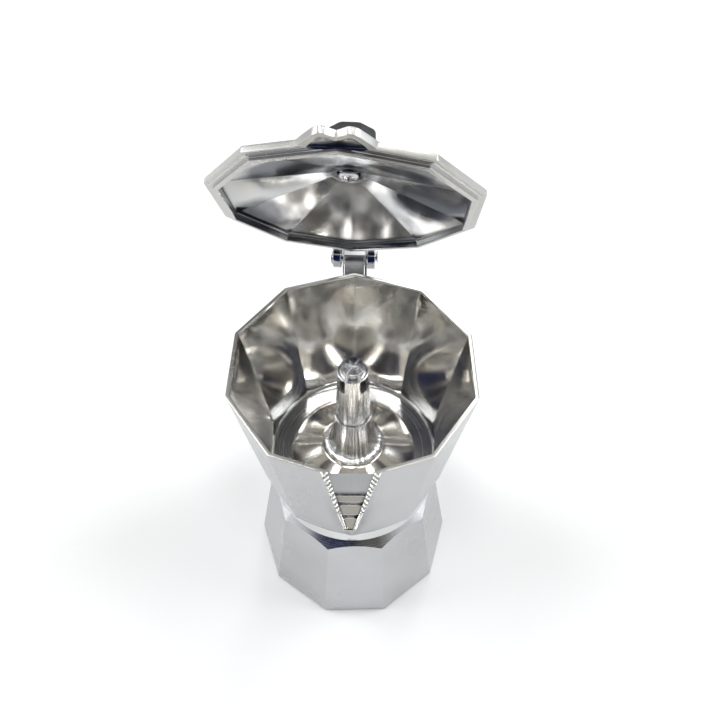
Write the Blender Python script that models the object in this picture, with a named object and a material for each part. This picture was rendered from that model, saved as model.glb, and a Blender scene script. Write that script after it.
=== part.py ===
"""Stovetop moka pot with its lid standing open.

A ten-sided boiler with a safety valve and a coffee funnel, a ten-sided collector with a beak, riser column,
hinged lid and handle, and the gasket and filter plate that seal the two when they are screwed together.
Metres, +Z up. The origin is the centre of the boiler's base, the spout points to -Y and the handle to +Y.
"""

import math

import bmesh
import bpy
from mathutils import Matrix, Vector

MM = 0.001
GAP = 0.3 * MM

# Faceted body
SIDES = 10
RIM_Z = 133.3 * MM
RIM_CORNER_R = 45.0 * MM
COLLAR_Z = 60.5 * MM
COLLAR_CORNER_R = 35.5 * MM
COLLAR_R = 34.0 * MM
COLLAR_EDGE = 0.5 * MM
COLLAR_PROFILE = ((34.3, 69.0), (35.2, 71.0), (37.3, 74.0), (40.0, 76.5), (75.0, 85.0), (75.0, 145.0))

# Boiler
BOILER_TURN = math.radians(19.64)
BASE_CORNER_R = 45.2 * MM
WAIST_CORNER_R = 35.9 * MM
WAIST_Z = 52.6 * MM
BASE_EDGE_R = 2.4 * MM
SHOULDER_TOP_Z = 57.5 * MM
SHOULDER_TOP_R = 30.8 * MM
NECK_R = 29.6 * MM
NECK_TOP_Z = 67.6 * MM
MOUTH_R = 26.6 * MM
BOILER_FLOOR = 3.5 * MM
VALVE_HOLE_R = 4.2 * MM

# Collector inside
WALL = 1.5 * MM
LEDGE_Z = 77.5 * MM
FLOOR_Z = 75.5 * MM
FLOOR_R = 33.1 * MM
DISH_R = 24.8 * MM
COLUMN_SEAT_Z = 82.0 * MM
COLUMN_SEAT_R = 12.4 * MM
COLUMN_HOLE_R = 5.0 * MM
THREAD_BORE_R = 31.0 * MM
SEAL_CEILING_Z = 72.9 * MM

# Spout, as a beak pulled out of the front corner
BEAK_ROOT_Z = 66.5 * MM
BEAK_REACH = 16.2 * MM
BEAK_HALF_W = 9.7 * MM
BEAK_TIP_HALF_W = 1.75 * MM

# Seal stack between boiler and collector
FUNNEL_FLANGE_Z = NECK_TOP_Z + GAP
FUNNEL_FLANGE_T = 0.9 * MM
GASKET_Z = FUNNEL_FLANGE_Z + FUNNEL_FLANGE_T + GAP
GASKET_T = 2.5 * MM
FILTER_Z = GASKET_Z + GASKET_T + GAP
FILTER_T = 0.5 * MM
SEAL_R = 30.5 * MM

# Funnel
BASKET_R = 25.2 * MM
BASKET_FLOOR_Z = 50.0 * MM
SHEET = 0.8 * MM
TUBE_R = 3.8 * MM
TUBE_END_Z = 9.0 * MM
TUBE_TOP_Z = 36.5 * MM

# Hinge
HINGE_Y = 53.0 * MM
HINGE_Z = RIM_Z + GAP
HINGE_AXIS = Vector((0.99775, -0.02475, 0.06224)).normalized()
LID_OPEN = math.radians(60.89)
PIN_R = 1.6 * MM
PIN_HEAD_R = 2.5 * MM
PIN_HEAD_GAP = 0.5 * MM
PIN_HEAD_T = 0.5 * MM
LUG_HALF_W = 4.5 * MM
LUG_NECK_HALF_W = 4.1 * MM
EAR_IN = 5.2 * MM
EAR_OUT = 8.3 * MM
EAR_R = 4.4 * MM
NOTCH_HALF_W = 5.0 * MM

# Lid, measured up from the rim plane when shut
LID_CORNER_R = 44.55 * MM
LID_EDGE_T = 2.2 * MM
LIP_OUT_R = 41.8 * MM
LIP_IN_R = 40.1 * MM
LIP_DROP = 1.2 * MM
DOME_IN_H = 11.4 * MM
DOME_OUT_H = 12.6 * MM
KNOB_SEAT_R = 5.6 * MM
NOSE = ((-11.4, -39.6), (-5.1, -48.6), (-3.0, -48.8), (-0.6, -46.2), (0.7, -46.2), (3.0, -48.8), (5.1, -48.6),
        (11.4, -39.6), (0.9, -42.2), (-0.8, -42.2))

# Knob and its screw: heights above the knob's foot, and widths across the flats
KNOB_SECTIONS = ((0.0, 11.4), (1.4, 12.4), (5.0, 15.2), (7.4, 15.9), (10.9, 15.9), (11.8, 14.3))
WASHER_T = 0.8 * MM
WASHER_R = 5.0 * MM
SOCKET_R = 3.6 * MM
SOCKET_H = 7.2 * MM
INSERT_R = 3.3 * MM
SCREW_R = 1.9 * MM
SCREW_HOLE_R = 2.3 * MM
SCREW_HEAD_R = 3.35 * MM
SLOT_HALF_L = 2.0 * MM
SLOT_HALF_W = 0.4 * MM

# Handle
HANDLE_HALF_W = 5.0 * MM
TANG_HALF_W = 2.0 * MM
HANDLE_PIN_Y = 63.5 * MM
HANDLE_PIN_Z = 120.0 * MM
HANDLE_PIN_R = 1.4 * MM
HANDLE_LINE = ((57.9, 119.5), (84.0, 119.5), (104.0, 126.0), (88.0, 44.0))

# Safety valve
VALVE_ANGLE = BOILER_TURN + math.radians(108.0)
VALVE_Z = 27.0 * MM
VALVE_STUB_R = 3.9 * MM
VALVE_BORE_R = 1.5 * MM
VALVE_CHAMBER_R = 2.8 * MM
VALVE_HEX_CORNER_R = 6.3 * MM
VALVE_HEX_FROM = 1.4 * MM
VALVE_HEX_TO = 7.5 * MM


def clear_scene():
    for scene_object in list(bpy.data.objects):
        bpy.data.objects.remove(scene_object, do_unlink=True)


def material(name, colour, roughness, metallic):
    shader_material = bpy.data.materials.new(name)
    shader_material.use_nodes = True
    shader = shader_material.node_tree.nodes["Principled BSDF"]
    shader.inputs["Base Color"].default_value = (*colour, 1.0)
    shader.inputs["Roughness"].default_value = roughness
    shader.inputs["Metallic"].default_value = metallic
    return shader_material


def link(name, bm, parent=None):
    bmesh.ops.recalc_face_normals(bm, faces=bm.faces)
    mesh = bpy.data.meshes.new(name)
    bm.to_mesh(mesh)
    bm.free()
    made = bpy.data.objects.new(name, mesh)
    bpy.context.scene.collection.objects.link(made)
    made.parent = parent
    return made


def part(name, bm, look, parent=None, smooth_angle=25.0):
    made = link(name, bm, parent)
    made.data.materials.append(look)
    made.data.shade_smooth()
    made.data.set_sharp_from_angle(angle=math.radians(smooth_angle))
    return made


def boolean(target, name, bm, operation):
    tool = link(target.name + "_" + name, bm, target.parent)
    tool.hide_render = True
    tool.display_type = "WIRE"
    modifier = target.modifiers.new(name, "BOOLEAN")
    modifier.operation = operation
    modifier.solver = "EXACT"
    modifier.object = tool


def pivot(name, location, rotation=(0.0, 0.0, 0.0)):
    made = bpy.data.objects.new(name, None)
    made.empty_display_size = 5 * MM
    made.location = location
    made.rotation_euler = rotation
    bpy.context.scene.collection.objects.link(made)
    return made


def arc(centre_x, centre_y, radius, start, end, count):
    """Points on an arc, from angle start to angle end in degrees."""
    points = []
    for index in range(count):
        angle = math.radians(start + (end - start) * index / (count - 1))
        points.append((centre_x + radius * math.cos(angle), centre_y + radius * math.sin(angle)))
    return points


def regular(radius, sides, turn=0.0):
    return [(radius * math.cos(turn + 2 * math.pi * k / sides),
             radius * math.sin(turn + 2 * math.pi * k / sides)) for k in range(sides)]


def loft(rings, bm=None, closed=False):
    """Skin rings of 3-D points; rings of one point are tips, and open ends are capped."""
    bm = bm or bmesh.new()
    made = [[bm.verts.new(point) for point in ring] for ring in rings]
    pairs = list(zip(made, made[1:]))
    if closed:
        pairs.append((made[-1], made[0]))
    for low, high in pairs:
        count = max(len(low), len(high))
        for k in range(count):
            nxt = (k + 1) % count
            corners = [low[k % len(low)], low[nxt % len(low)], high[nxt % len(high)], high[k % len(high)]]
            unique = list(dict.fromkeys(corners))
            if len(unique) > 2:
                bm.faces.new(unique)
    if not closed:
        for end in (made[0], made[-1]):
            if len(end) > 2:
                bm.faces.new(end)
    return bm


def turned(outline, steps):
    """Solid of revolution about Z from a closed (radius, height) outline."""
    rings = []
    for radius, height in outline:
        if radius == 0.0:
            rings.append([(0.0, 0.0, height)])
        else:
            rings.append([(x, y, height) for x, y in regular(radius, steps)])
    return loft(rings, closed=True)


def prism_z(outline, low, high, bm=None):
    return loft([[(x, y, low) for x, y in outline], [(x, y, high) for x, y in outline]], bm)


def prism_x(outline, low, high):
    """Extrude a (y, z) outline along X."""
    return loft([[(low, y, z) for y, z in outline], [(high, y, z) for y, z in outline]])


def rod_x(y, z, radius, low, high, sides=20):
    return prism_x([(y + a, z + b) for a, b in regular(radius, sides)], low, high)


def hinge_rod(radius, low, high, sides=16):
    """Rod on the hinge's axis, which leans a little in its lug, in the hinge pivot's frame."""
    rod = rod_x(0.0, 0.0, radius, low, high, sides)
    rod.transform(Vector((1.0, 0.0, 0.0)).rotation_difference(HINGE_AXIS).to_matrix().to_4x4())
    return rod


def at_hinge(bm):
    bm.transform(Matrix.Translation((0.0, HINGE_Y, HINGE_Z)))
    return bm


def body_corner_r(z):
    """Corner radius of the collector's outer facets, which stand upright where the collar is turned."""
    share = (max(z, BEAK_ROOT_Z) - COLLAR_Z) / (RIM_Z - COLLAR_Z)
    return COLLAR_CORNER_R + (RIM_CORNER_R - COLLAR_CORNER_R) * share


def beak_side(z):
    """Half outline of the beak at a height: facet line, hollow fillet, then the nose."""
    share = max(0.0, (z - BEAK_ROOT_Z) / (RIM_Z - BEAK_ROOT_Z))
    corner = body_corner_r(z)
    slope = math.tan(math.pi / SIDES)
    half_w = 1.5 * MM + (BEAK_HALF_W - 1.5 * MM) * share ** 0.8
    reach = BEAK_REACH * share ** 1.7
    tip = 0.35 * MM + (BEAK_TIP_HALF_W - 0.35 * MM) * share
    fillet = 0.6 * MM + 5.0 * MM * share * (1.0 - share) * 4.0
    root = Vector((half_w, -corner + half_w * slope))
    nose = Vector((tip, -corner - reach + tip * slope))
    start = root + Vector((1.0, slope)).normalized() * fillet
    end = root + (nose - root) * min(0.7, fillet / max((nose - root).length, 0.001 * MM))
    points = []
    for index in range(4):
        u = index / 3
        point = start * (1 - u) ** 2 + root * 2 * u * (1 - u) + end * u ** 2
        points.append((point.x, point.y))
    points.append((nose.x, nose.y))
    return points


def collector_ring(z):
    """Outer outline at a height, counter-clockwise from the corner right of the beak."""
    corners = regular(body_corner_r(z), SIDES, math.radians(-54.0))[:SIDES - 1]
    side = beak_side(z)
    left = [(-x, y) for x, y in side]
    right = list(reversed(side))
    return [(x, y, z) for x, y in corners + left + right]


def decagon(corner_r, z, turn=0.0):
    """Ring of ten corners, one of them on the hinge's side (+Y)."""
    return [(x, y, z) for x, y in regular(corner_r, SIDES, math.pi / 2 + turn)]


def boiler_corner_r(z):
    return BASE_CORNER_R + (WAIST_CORNER_R - BASE_CORNER_R) * z / WAIST_Z


def build_boiler(look):
    rings = []
    for offset, height in arc(-BASE_EDGE_R, BASE_EDGE_R, BASE_EDGE_R, -90.0, 0.0, 4):
        rings.append(decagon(boiler_corner_r(height) + offset / math.cos(math.pi / SIDES), height, BOILER_TURN))
    top = NECK_TOP_Z + 2 * MM
    rings.append(decagon(boiler_corner_r(top), top, BOILER_TURN))
    boiler = part("boiler", loft(rings), look)
    drop = BASE_CORNER_R + 2 * MM - SHOULDER_TOP_R
    envelope = [(0.0, -MM), (BASE_CORNER_R + 2 * MM, -MM), (BASE_CORNER_R + 2 * MM, SHOULDER_TOP_Z - drop),
                (SHOULDER_TOP_R, SHOULDER_TOP_Z), (NECK_R, SHOULDER_TOP_Z), (NECK_R, NECK_TOP_Z - 0.6 * MM),
                (NECK_R - 0.6 * MM, NECK_TOP_Z), (0.0, NECK_TOP_Z)]
    boolean(boiler, "turned_top", turned(envelope, 40), "INTERSECT")
    hollow = [(0.0, BOILER_FLOOR), (37.9 * MM, BOILER_FLOOR), (39.2 * MM, 4.8 * MM), (32.6 * MM, 44 * MM),
              (28.5 * MM, 51 * MM), (MOUTH_R, 53 * MM), (MOUTH_R, NECK_TOP_Z + MM), (0.0, NECK_TOP_Z + MM)]
    boolean(boiler, "water_space", turned(hollow, 40), "DIFFERENCE")
    hole = turned([(0.0, -8 * MM), (VALVE_HOLE_R, -8 * MM), (VALVE_HOLE_R, 4 * MM), (0.0, 4 * MM)], 20)
    hole.transform(valve_frame())
    boolean(boiler, "valve_hole", hole, "DIFFERENCE")


def valve_frame():
    """Frame on the boiler's facet: +Z is the valve's outward axis, and zero is the facet's face."""
    lean = math.atan((BASE_CORNER_R - WAIST_CORNER_R) * math.cos(math.pi / SIDES) / WAIST_Z)
    apothem = boiler_corner_r(VALVE_Z) * math.cos(math.pi / SIDES)
    place = Vector((apothem * math.cos(VALVE_ANGLE), apothem * math.sin(VALVE_ANGLE), VALVE_Z))
    turn = Matrix.Rotation(VALVE_ANGLE, 4, "Z") @ Matrix.Rotation(math.pi / 2 - lean, 4, "Y")
    return Matrix.Translation(place) @ turn


def ring_outline(inner, outer, low, high):
    return [(inner, low), (outer, low), (outer, high), (inner, high)]


def build_valve(brass, fibre, steel):
    frame = valve_frame()
    location, rotation, _ = frame.decompose()
    seat = pivot("valve_axis", location, rotation.to_euler())
    stub = turned(ring_outline(VALVE_BORE_R, VALVE_STUB_R, -5.5 * MM, VALVE_HEX_FROM + MM), 24)
    body = part("valve_body", stub, brass, seat)
    hexagon = prism_z(regular(VALVE_HEX_CORNER_R, 6), VALVE_HEX_FROM, VALVE_HEX_TO)
    boolean(body, "hexagon", hexagon, "UNION")
    top = VALVE_HEX_TO + MM
    chamber = turned([(0.0, -3 * MM), (VALVE_CHAMBER_R, -3 * MM), (VALVE_CHAMBER_R, top), (0.0, top)], 24)
    boolean(body, "chamber", chamber, "DIFFERENCE")
    part("valve_washer", turned(ring_outline(4.3 * MM, 6.0 * MM, GAP, 1.1 * MM), 24), fibre, seat)
    part("valve_retainer", turned(ring_outline(1.2 * MM, 2.5 * MM, 5.7 * MM, 7.2 * MM), 20), steel, seat)
    plunger = [(0.0, -2.7 * MM), (1.2 * MM, -2.7 * MM), (2.4 * MM, -2.2 * MM), (2.4 * MM, -1.5 * MM),
               (0.9 * MM, -1.5 * MM), (0.9 * MM, 8.2 * MM), (0.6 * MM, 8.6 * MM), (0.0, 8.6 * MM)]
    part("valve_plunger", turned(plunger, 16), steel, seat)
    part("valve_spring", coil(1.85 * MM, 0.3 * MM, -0.9 * MM, 4.3 * MM, 5), steel, seat)


def coil(radius, wire_r, low, high, turns):
    rings = []
    steps = turns * 12
    for k in range(steps + 1):
        angle = 2 * math.pi * turns * k / steps
        centre = Vector((radius * math.cos(angle), radius * math.sin(angle), low + (high - low) * k / steps))
        out = Vector((math.cos(angle), math.sin(angle), 0.0))
        rings.append([centre + out * a + Vector((0, 0, b)) for a, b in regular(wire_r, 6)])
    return loft(rings)


def perforations(pitch, rows, radius, low, high):
    """Hexagonal field of holes about the Z axis."""
    bm = bmesh.new()
    for row in range(-rows, rows + 1):
        for column in range(-rows, rows + 1):
            if abs(row + column) > rows:
                continue
            x = pitch * (column + row / 2)
            y = pitch * row * math.sqrt(3) / 2
            prism_z([(x + a, y + b) for a, b in regular(radius, 6)], low, high, bm)
    return bm


def build_funnel(look, plate_look):
    flange_top = FUNNEL_FLANGE_Z + FUNNEL_FLANGE_T
    outline = [(29.2 * MM, flange_top), (29.2 * MM, FUNNEL_FLANGE_Z), (BASKET_R + SHEET, FUNNEL_FLANGE_Z),
               (BASKET_R + SHEET, BASKET_FLOOR_Z - 0.4 * MM), (BASKET_R, BASKET_FLOOR_Z - 1.8 * MM),
               (TUBE_R + 1.6 * MM, TUBE_TOP_Z + MM), (TUBE_R + SHEET, TUBE_TOP_Z - 0.8 * MM),
               (TUBE_R + SHEET, TUBE_END_Z), (TUBE_R, TUBE_END_Z), (TUBE_R, TUBE_TOP_Z),
               (TUBE_R + 0.8 * MM, TUBE_TOP_Z + 1.8 * MM), (BASKET_R - MM, BASKET_FLOOR_Z - 0.9 * MM),
               (BASKET_R, BASKET_FLOOR_Z), (BASKET_R, flange_top - 0.6 * MM), (BASKET_R + 0.6 * MM, flange_top)]
    part("funnel", turned(outline, 40), look)
    low = BASKET_FLOOR_Z + 0.4 * MM
    plate = part("funnel_plate", prism_z(regular(24.5 * MM, 40), low, low + 0.6 * MM), plate_look)
    holes = perforations(5.6 * MM, 3, 0.8 * MM, low - MM, low + 2 * MM)
    boolean(plate, "holes", holes, "DIFFERENCE")


def build_seals(rubber, plate_look):
    part("gasket", turned(ring_outline(24.6 * MM, SEAL_R, GASKET_Z, GASKET_Z + GASKET_T), 40), rubber)
    plate = part("filter_plate", prism_z(regular(SEAL_R - 0.3 * MM, 40), FILTER_Z, FILTER_Z + FILTER_T), plate_look)
    holes = perforations(5.6 * MM, 3, 0.7 * MM, FILTER_Z - MM, FILTER_Z + 2 * MM)
    boolean(plate, "holes", holes, "DIFFERENCE")


def build_collector(look):
    count = 7
    heights = [COLLAR_Z + (BEAK_ROOT_Z - COLLAR_Z) * k for k in (0, 1)]
    heights += [BEAK_ROOT_Z + (RIM_Z - BEAK_ROOT_Z) * k / count for k in range(1, count + 1)]
    collector = part("collector", loft([collector_ring(z) for z in heights]), look, smooth_angle=16.0)
    collar = [(0.0, COLLAR_Z), (COLLAR_R - COLLAR_EDGE, COLLAR_Z), (COLLAR_R, COLLAR_Z + COLLAR_EDGE)]
    collar += [(radius * MM, height * MM) for radius, height in COLLAR_PROFILE]
    collar += [(0.0, COLLAR_PROFILE[-1][1] * MM)]
    boolean(collector, "turned_collar", turned(collar, 60), "INTERSECT")
    neck = [(44.2 * MM, RIM_Z - 0.6 * MM)] + arc(HINGE_Y, HINGE_Z, 4.2 * MM, 170.0, -2.0, 9)
    neck += [(HINGE_Y + 4.3 * MM, RIM_Z - 22 * MM), (41.2 * MM, RIM_Z - 24 * MM)]
    boolean(collector, "lug_neck", prism_x(neck, -LUG_NECK_HALF_W, LUG_NECK_HALF_W), "UNION")
    top = RIM_Z + 4.6 * MM
    block = [(HINGE_Y - 3.4 * MM, RIM_Z - 1.5 * MM), (HINGE_Y + 4.3 * MM, RIM_Z - 1.5 * MM),
             (HINGE_Y + 4.3 * MM, top), (HINGE_Y - 3.4 * MM, top)]
    boolean(collector, "lug_block", prism_x(block, -LUG_HALF_W, LUG_HALF_W), "UNION")
    tang = [(56 * MM, 112.5 * MM), (67 * MM, 113.5 * MM)] + arc(66 * MM, 123.5 * MM, 2 * MM, 0.0, 90.0, 4)
    tang += [(56 * MM, 126 * MM)]
    boolean(collector, "tang", prism_x(tang, -TANG_HALF_W, TANG_HALF_W), "UNION")
    inner_top = RIM_CORNER_R - WALL / math.cos(math.pi / SIDES)
    inner_low = (FLOOR_R + GAP) / math.cos(math.pi / SIDES)
    over = MM
    rise = (inner_top - inner_low) / (RIM_Z - LEDGE_Z)
    chamber = loft([decagon(inner_low, LEDGE_Z), decagon(inner_top + rise * over, RIM_Z + over)])
    boolean(collector, "chamber", chamber, "DIFFERENCE")
    well = [(0.0, COLUMN_SEAT_Z), (COLUMN_SEAT_R, COLUMN_SEAT_Z), (DISH_R, FLOOR_Z - 0.4 * MM),
            (DISH_R + 0.5 * MM, FLOOR_Z), (FLOOR_R - 0.5 * MM, FLOOR_Z), (FLOOR_R, FLOOR_Z + 0.5 * MM),
            (FLOOR_R, COLUMN_SEAT_Z + 8 * MM), (0.0, COLUMN_SEAT_Z + 8 * MM)]
    boolean(collector, "well", turned(well, 40), "DIFFERENCE")
    below = COLLAR_Z - MM
    under = [(0.0, below), (THREAD_BORE_R, below), (THREAD_BORE_R, SEAL_CEILING_Z),
             (DISH_R - 0.5 * MM, SEAL_CEILING_Z), (COLUMN_SEAT_R - MM, COLUMN_SEAT_Z - 2.4 * MM),
             (COLUMN_HOLE_R, COLUMN_SEAT_Z - 2.4 * MM), (COLUMN_HOLE_R, COLUMN_SEAT_Z + MM),
             (0.0, COLUMN_SEAT_Z + MM)]
    boolean(collector, "underside", turned(under, 40), "DIFFERENCE")
    boolean(collector, "pouring_channel", pouring_channel(), "DIFFERENCE")
    boolean(collector, "pin_hole", at_hinge(hinge_rod(PIN_R + GAP, -EAR_OUT, EAR_OUT, 20)), "DIFFERENCE")
    reach = 2 * TANG_HALF_W
    tang_hole = rod_x(HANDLE_PIN_Y, HANDLE_PIN_Z, HANDLE_PIN_R + GAP, -reach, reach, 16)
    boolean(collector, "tang_hole", tang_hole, "DIFFERENCE")


def pouring_channel():
    """Wedge cutter: deepest at the chamber, shallow at the tip, and open at the tip."""
    slope = math.tan(math.pi / SIDES)
    back_y = -(RIM_CORNER_R - WALL) + 7.4 * MM * slope
    tip_y = -(RIM_CORNER_R + BEAK_REACH) - MM
    top = RIM_Z + MM
    back = [(-7.6 * MM, RIM_Z - 2.6 * MM), (7.6 * MM, RIM_Z - 2.6 * MM), (8.6 * MM, top), (-8.6 * MM, top)]
    tip = [(-0.5 * MM, RIM_Z - 0.9 * MM), (0.5 * MM, RIM_Z - 0.9 * MM), (0.8 * MM, top), (-0.8 * MM, top)]
    start = [(x, back_y + 4 * MM, z) for x, z in back]
    return loft([start, [(x, back_y, z) for x, z in back], [(x, tip_y, z) for x, z in tip]])


def build_column(look, cap_look):
    base = COLUMN_SEAT_Z + GAP
    bore = 3.4 * MM
    step_z = 103.2 * MM
    bead = arc(10.9 * MM, base + 0.75 * MM, 0.75 * MM, -60.0, 90.0, 5)
    outline = [(bore, COLUMN_SEAT_Z - 3.4 * MM), (COLUMN_HOLE_R - GAP, COLUMN_SEAT_Z - 3.4 * MM),
               (COLUMN_HOLE_R - GAP, base)] + bead
    outline += [(9.8 * MM, base + 1.6 * MM), (9.25 * MM, base + 2.6 * MM), (7.1 * MM, step_z),
                (4.9 * MM, step_z), (4.5 * MM, 118 * MM), (bore, 118 * MM)]
    part("riser_column", turned(outline, 24), look)
    cap_z = 129.7 * MM
    top = RIM_Z - MM
    sleeve = [(5.3 * MM, step_z + GAP), (6.75 * MM, step_z + GAP), (5.85 * MM, 122 * MM), (5.5 * MM, cap_z),
              (4.3 * MM, cap_z), (4.3 * MM, top - 0.4 * MM), (4.0 * MM, top), (0.0, top), (0.0, cap_z - 0.2 * MM),
              (4.3 * MM, cap_z - 0.2 * MM), (4.6 * MM, 122 * MM), (4.9 * MM, 118.4 * MM)]
    cap = part("column_cap", turned(sleeve, 24), cap_look)
    windows = bmesh.new()
    for side in (-1, 1):
        edge = [(side * 2.65 * MM, -9 * MM), (side * 9 * MM, -9 * MM), (side * 9 * MM, 9 * MM),
                (side * 2.65 * MM, 9 * MM)]
        prism_z(edge, 122.3 * MM, cap_z - 0.5 * MM, windows)
    boolean(cap, "windows", windows, "DIFFERENCE")


def in_lid(bm):
    """Move closed-lid coordinates, measured from the rim plane, to the hinge pivot's frame."""
    bm.transform(Matrix.Translation((0.0, -HINGE_Y, RIM_Z - HINGE_Z)))
    return bm


def build_lid(look, pivot_frame):
    bottom = GAP
    rings = [(KNOB_SEAT_R, DOME_IN_H), (LIP_IN_R, bottom + 0.9 * MM), (LIP_IN_R, bottom - LIP_DROP),
             (LIP_OUT_R, bottom - LIP_DROP), (LIP_OUT_R, bottom), (LID_CORNER_R, bottom),
             (LID_CORNER_R, bottom + LID_EDGE_T - 0.4 * MM), (LID_CORNER_R - 0.4 * MM, bottom + LID_EDGE_T),
             (KNOB_SEAT_R, DOME_OUT_H)]
    shell = [decagon(radius, height) for radius, height in rings]
    shell = [[(0.0, 0.0, DOME_IN_H)]] + shell + [[(0.0, 0.0, DOME_OUT_H)]]
    lid = part("lid", in_lid(loft(shell)), look, pivot_frame, smooth_angle=8.0)
    nose = [(x * MM, y * MM) for x, y in NOSE]
    boolean(lid, "nose", in_lid(prism_z(nose, bottom + 0.1 * MM, bottom + LID_EDGE_T + 0.2 * MM)), "UNION")
    notch = [(-NOTCH_HALF_W, 50 * MM), (-NOTCH_HALF_W, 43.6 * MM), (-3.4 * MM, 42.4 * MM), (-1.1 * MM, 42.0 * MM),
             (1.0 * MM, 42.0 * MM), (3.4 * MM, 42.4 * MM), (NOTCH_HALF_W, 43.6 * MM), (NOTCH_HALF_W, 50 * MM)]
    boolean(lid, "lug_notch", in_lid(prism_z(notch, -3 * MM, 6 * MM)), "DIFFERENCE")
    ear = [(40.6 * MM, bottom + 0.15 * MM)] + arc(HINGE_Y, GAP, EAR_R, 178.0, 450.0, 15)
    ear += [(HINGE_Y - 2.5 * MM, 4.0 * MM), (44.6 * MM, 3.3 * MM), (40.6 * MM, 3.0 * MM)]
    for name, low, high in (("left", -EAR_OUT, -EAR_IN), ("right", EAR_IN, EAR_OUT)):
        boolean(lid, "ear_" + name, in_lid(prism_x(ear, low, high)), "UNION")
    boolean(lid, "pin_hole", hinge_rod(PIN_R + GAP, -12 * MM, 12 * MM, 20), "DIFFERENCE")
    screw_hole = turned([(0.0, 8 * MM), (SCREW_HOLE_R, 8 * MM), (SCREW_HOLE_R, 15 * MM), (0.0, 15 * MM)], 16)
    boolean(lid, "screw_hole", in_lid(screw_hole), "DIFFERENCE")


def build_knob(plastic, brass, steel, pivot_frame):
    washer_z = DOME_OUT_H + GAP
    base = washer_z + WASHER_T + GAP
    rings = []
    for height, across in KNOB_SECTIONS:
        corner = across / 2 * MM / math.cos(math.pi / 8)
        rings.append([(x, y, base + height * MM) for x, y in regular(corner, 8, math.pi / 8)])
    knob = part("knob", in_lid(loft(rings)), plastic, pivot_frame)
    socket = turned([(0.0, base - MM), (SOCKET_R, base - MM), (SOCKET_R, base + SOCKET_H), (0.0, base + SOCKET_H)], 24)
    boolean(knob, "insert_socket", in_lid(socket), "DIFFERENCE")
    insert = ring_outline(SCREW_R + GAP, INSERT_R, base + 0.1 * MM, base + SOCKET_H - 0.4 * MM)
    part("knob_insert", in_lid(turned(insert, 16)), brass, pivot_frame)
    washer = ring_outline(SCREW_HOLE_R, WASHER_R, washer_z, washer_z + WASHER_T)
    part("knob_washer", in_lid(turned(washer, 24)), steel, pivot_frame)
    head_top = DOME_IN_H - GAP
    screw_end = base + SOCKET_H - MM
    screw = [(0.0, head_top - 1.2 * MM), (2.9 * MM, head_top - 1.2 * MM), (SCREW_HEAD_R, head_top - 0.7 * MM),
             (SCREW_HEAD_R, head_top), (SCREW_R, head_top), (SCREW_R, screw_end), (0.0, screw_end)]
    knob_screw = part("knob_screw", in_lid(turned(screw, 24)), steel, pivot_frame)
    for name, half_x, half_y in (("drive_slot", SLOT_HALF_L, SLOT_HALF_W), ("cross_slot", SLOT_HALF_W, SLOT_HALF_L)):
        slot = [(-half_x, -half_y), (half_x, -half_y), (half_x, half_y), (-half_x, half_y)]
        cutter = prism_z(slot, head_top - 2 * MM, head_top - 0.5 * MM)
        boolean(knob_screw, name, in_lid(cutter), "DIFFERENCE")


def build_hinge_pin(steel):
    start = EAR_OUT + PIN_HEAD_GAP
    end = start + PIN_HEAD_T
    hinge_pin = part("hinge_pin", at_hinge(hinge_rod(PIN_R, -end, end)), steel)
    for name, low, high in (("left", -end, -start), ("right", start, end)):
        boolean(hinge_pin, "head_" + name, at_hinge(hinge_rod(PIN_HEAD_R, low, high)), "UNION")


def handle_ring(centre, across, half_h, half_w):
    """Rounded rectangle across the handle's centreline."""
    ring = []
    radius = min(half_h, half_w) * 0.55
    for sx, sh, start in ((1, 1, 0), (-1, 1, 90), (-1, -1, 180), (1, -1, 270)):
        for a, b in arc(sx * (half_w - radius), sh * (half_h - radius), radius, start, start + 90, 3):
            ring.append((a, centre.y + across.y * b, centre.z + across.z * b))
    return ring


def bezier(points, u):
    a, b, c, d = points
    return a * (1 - u) ** 3 + b * 3 * u * (1 - u) ** 2 + c * 3 * u ** 2 * (1 - u) + d * u ** 3


def build_handle(plastic, steel):
    line = [Vector((0, y * MM, z * MM)) for y, z in HANDLE_LINE]
    rings = []
    count = 16
    for k in range(count + 1):
        u = k / count
        centre = bezier(line, u)
        along = (bezier(line, min(1.0, u + 0.01)) - bezier(line, max(0.0, u - 0.01))).normalized()
        across = Vector((0.0, -along.z, along.y))
        half_h = (8.6 - 3.6 * math.sin(math.pi * min(1.0, u * 2.2)) * 0.6 - 1.4 * u) * MM
        end_round = min(1.0, 0.72 + 0.28 * math.sqrt(max(0.0, 1.0 - u) * count / 2))
        rings.append(handle_ring(centre, across, half_h * end_round, HANDLE_HALF_W * end_round))
    handle = part("handle", loft(rings), plastic, smooth_angle=40.0)
    slot = [(50 * MM, 100 * MM), (69.5 * MM, 100 * MM), (69.5 * MM, 140 * MM), (50 * MM, 140 * MM)]
    half = TANG_HALF_W + GAP
    boolean(handle, "tang_slot", prism_x(slot, -half, half), "DIFFERENCE")
    reach = 2 * HANDLE_HALF_W
    hole = rod_x(HANDLE_PIN_Y, HANDLE_PIN_Z, HANDLE_PIN_R + GAP, -reach, reach, 16)
    boolean(handle, "pin_hole", hole, "DIFFERENCE")
    end = HANDLE_HALF_W - 0.1 * MM
    part("handle_pin", rod_x(HANDLE_PIN_Y, HANDLE_PIN_Z, HANDLE_PIN_R, -end, end, 16), steel)


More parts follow.
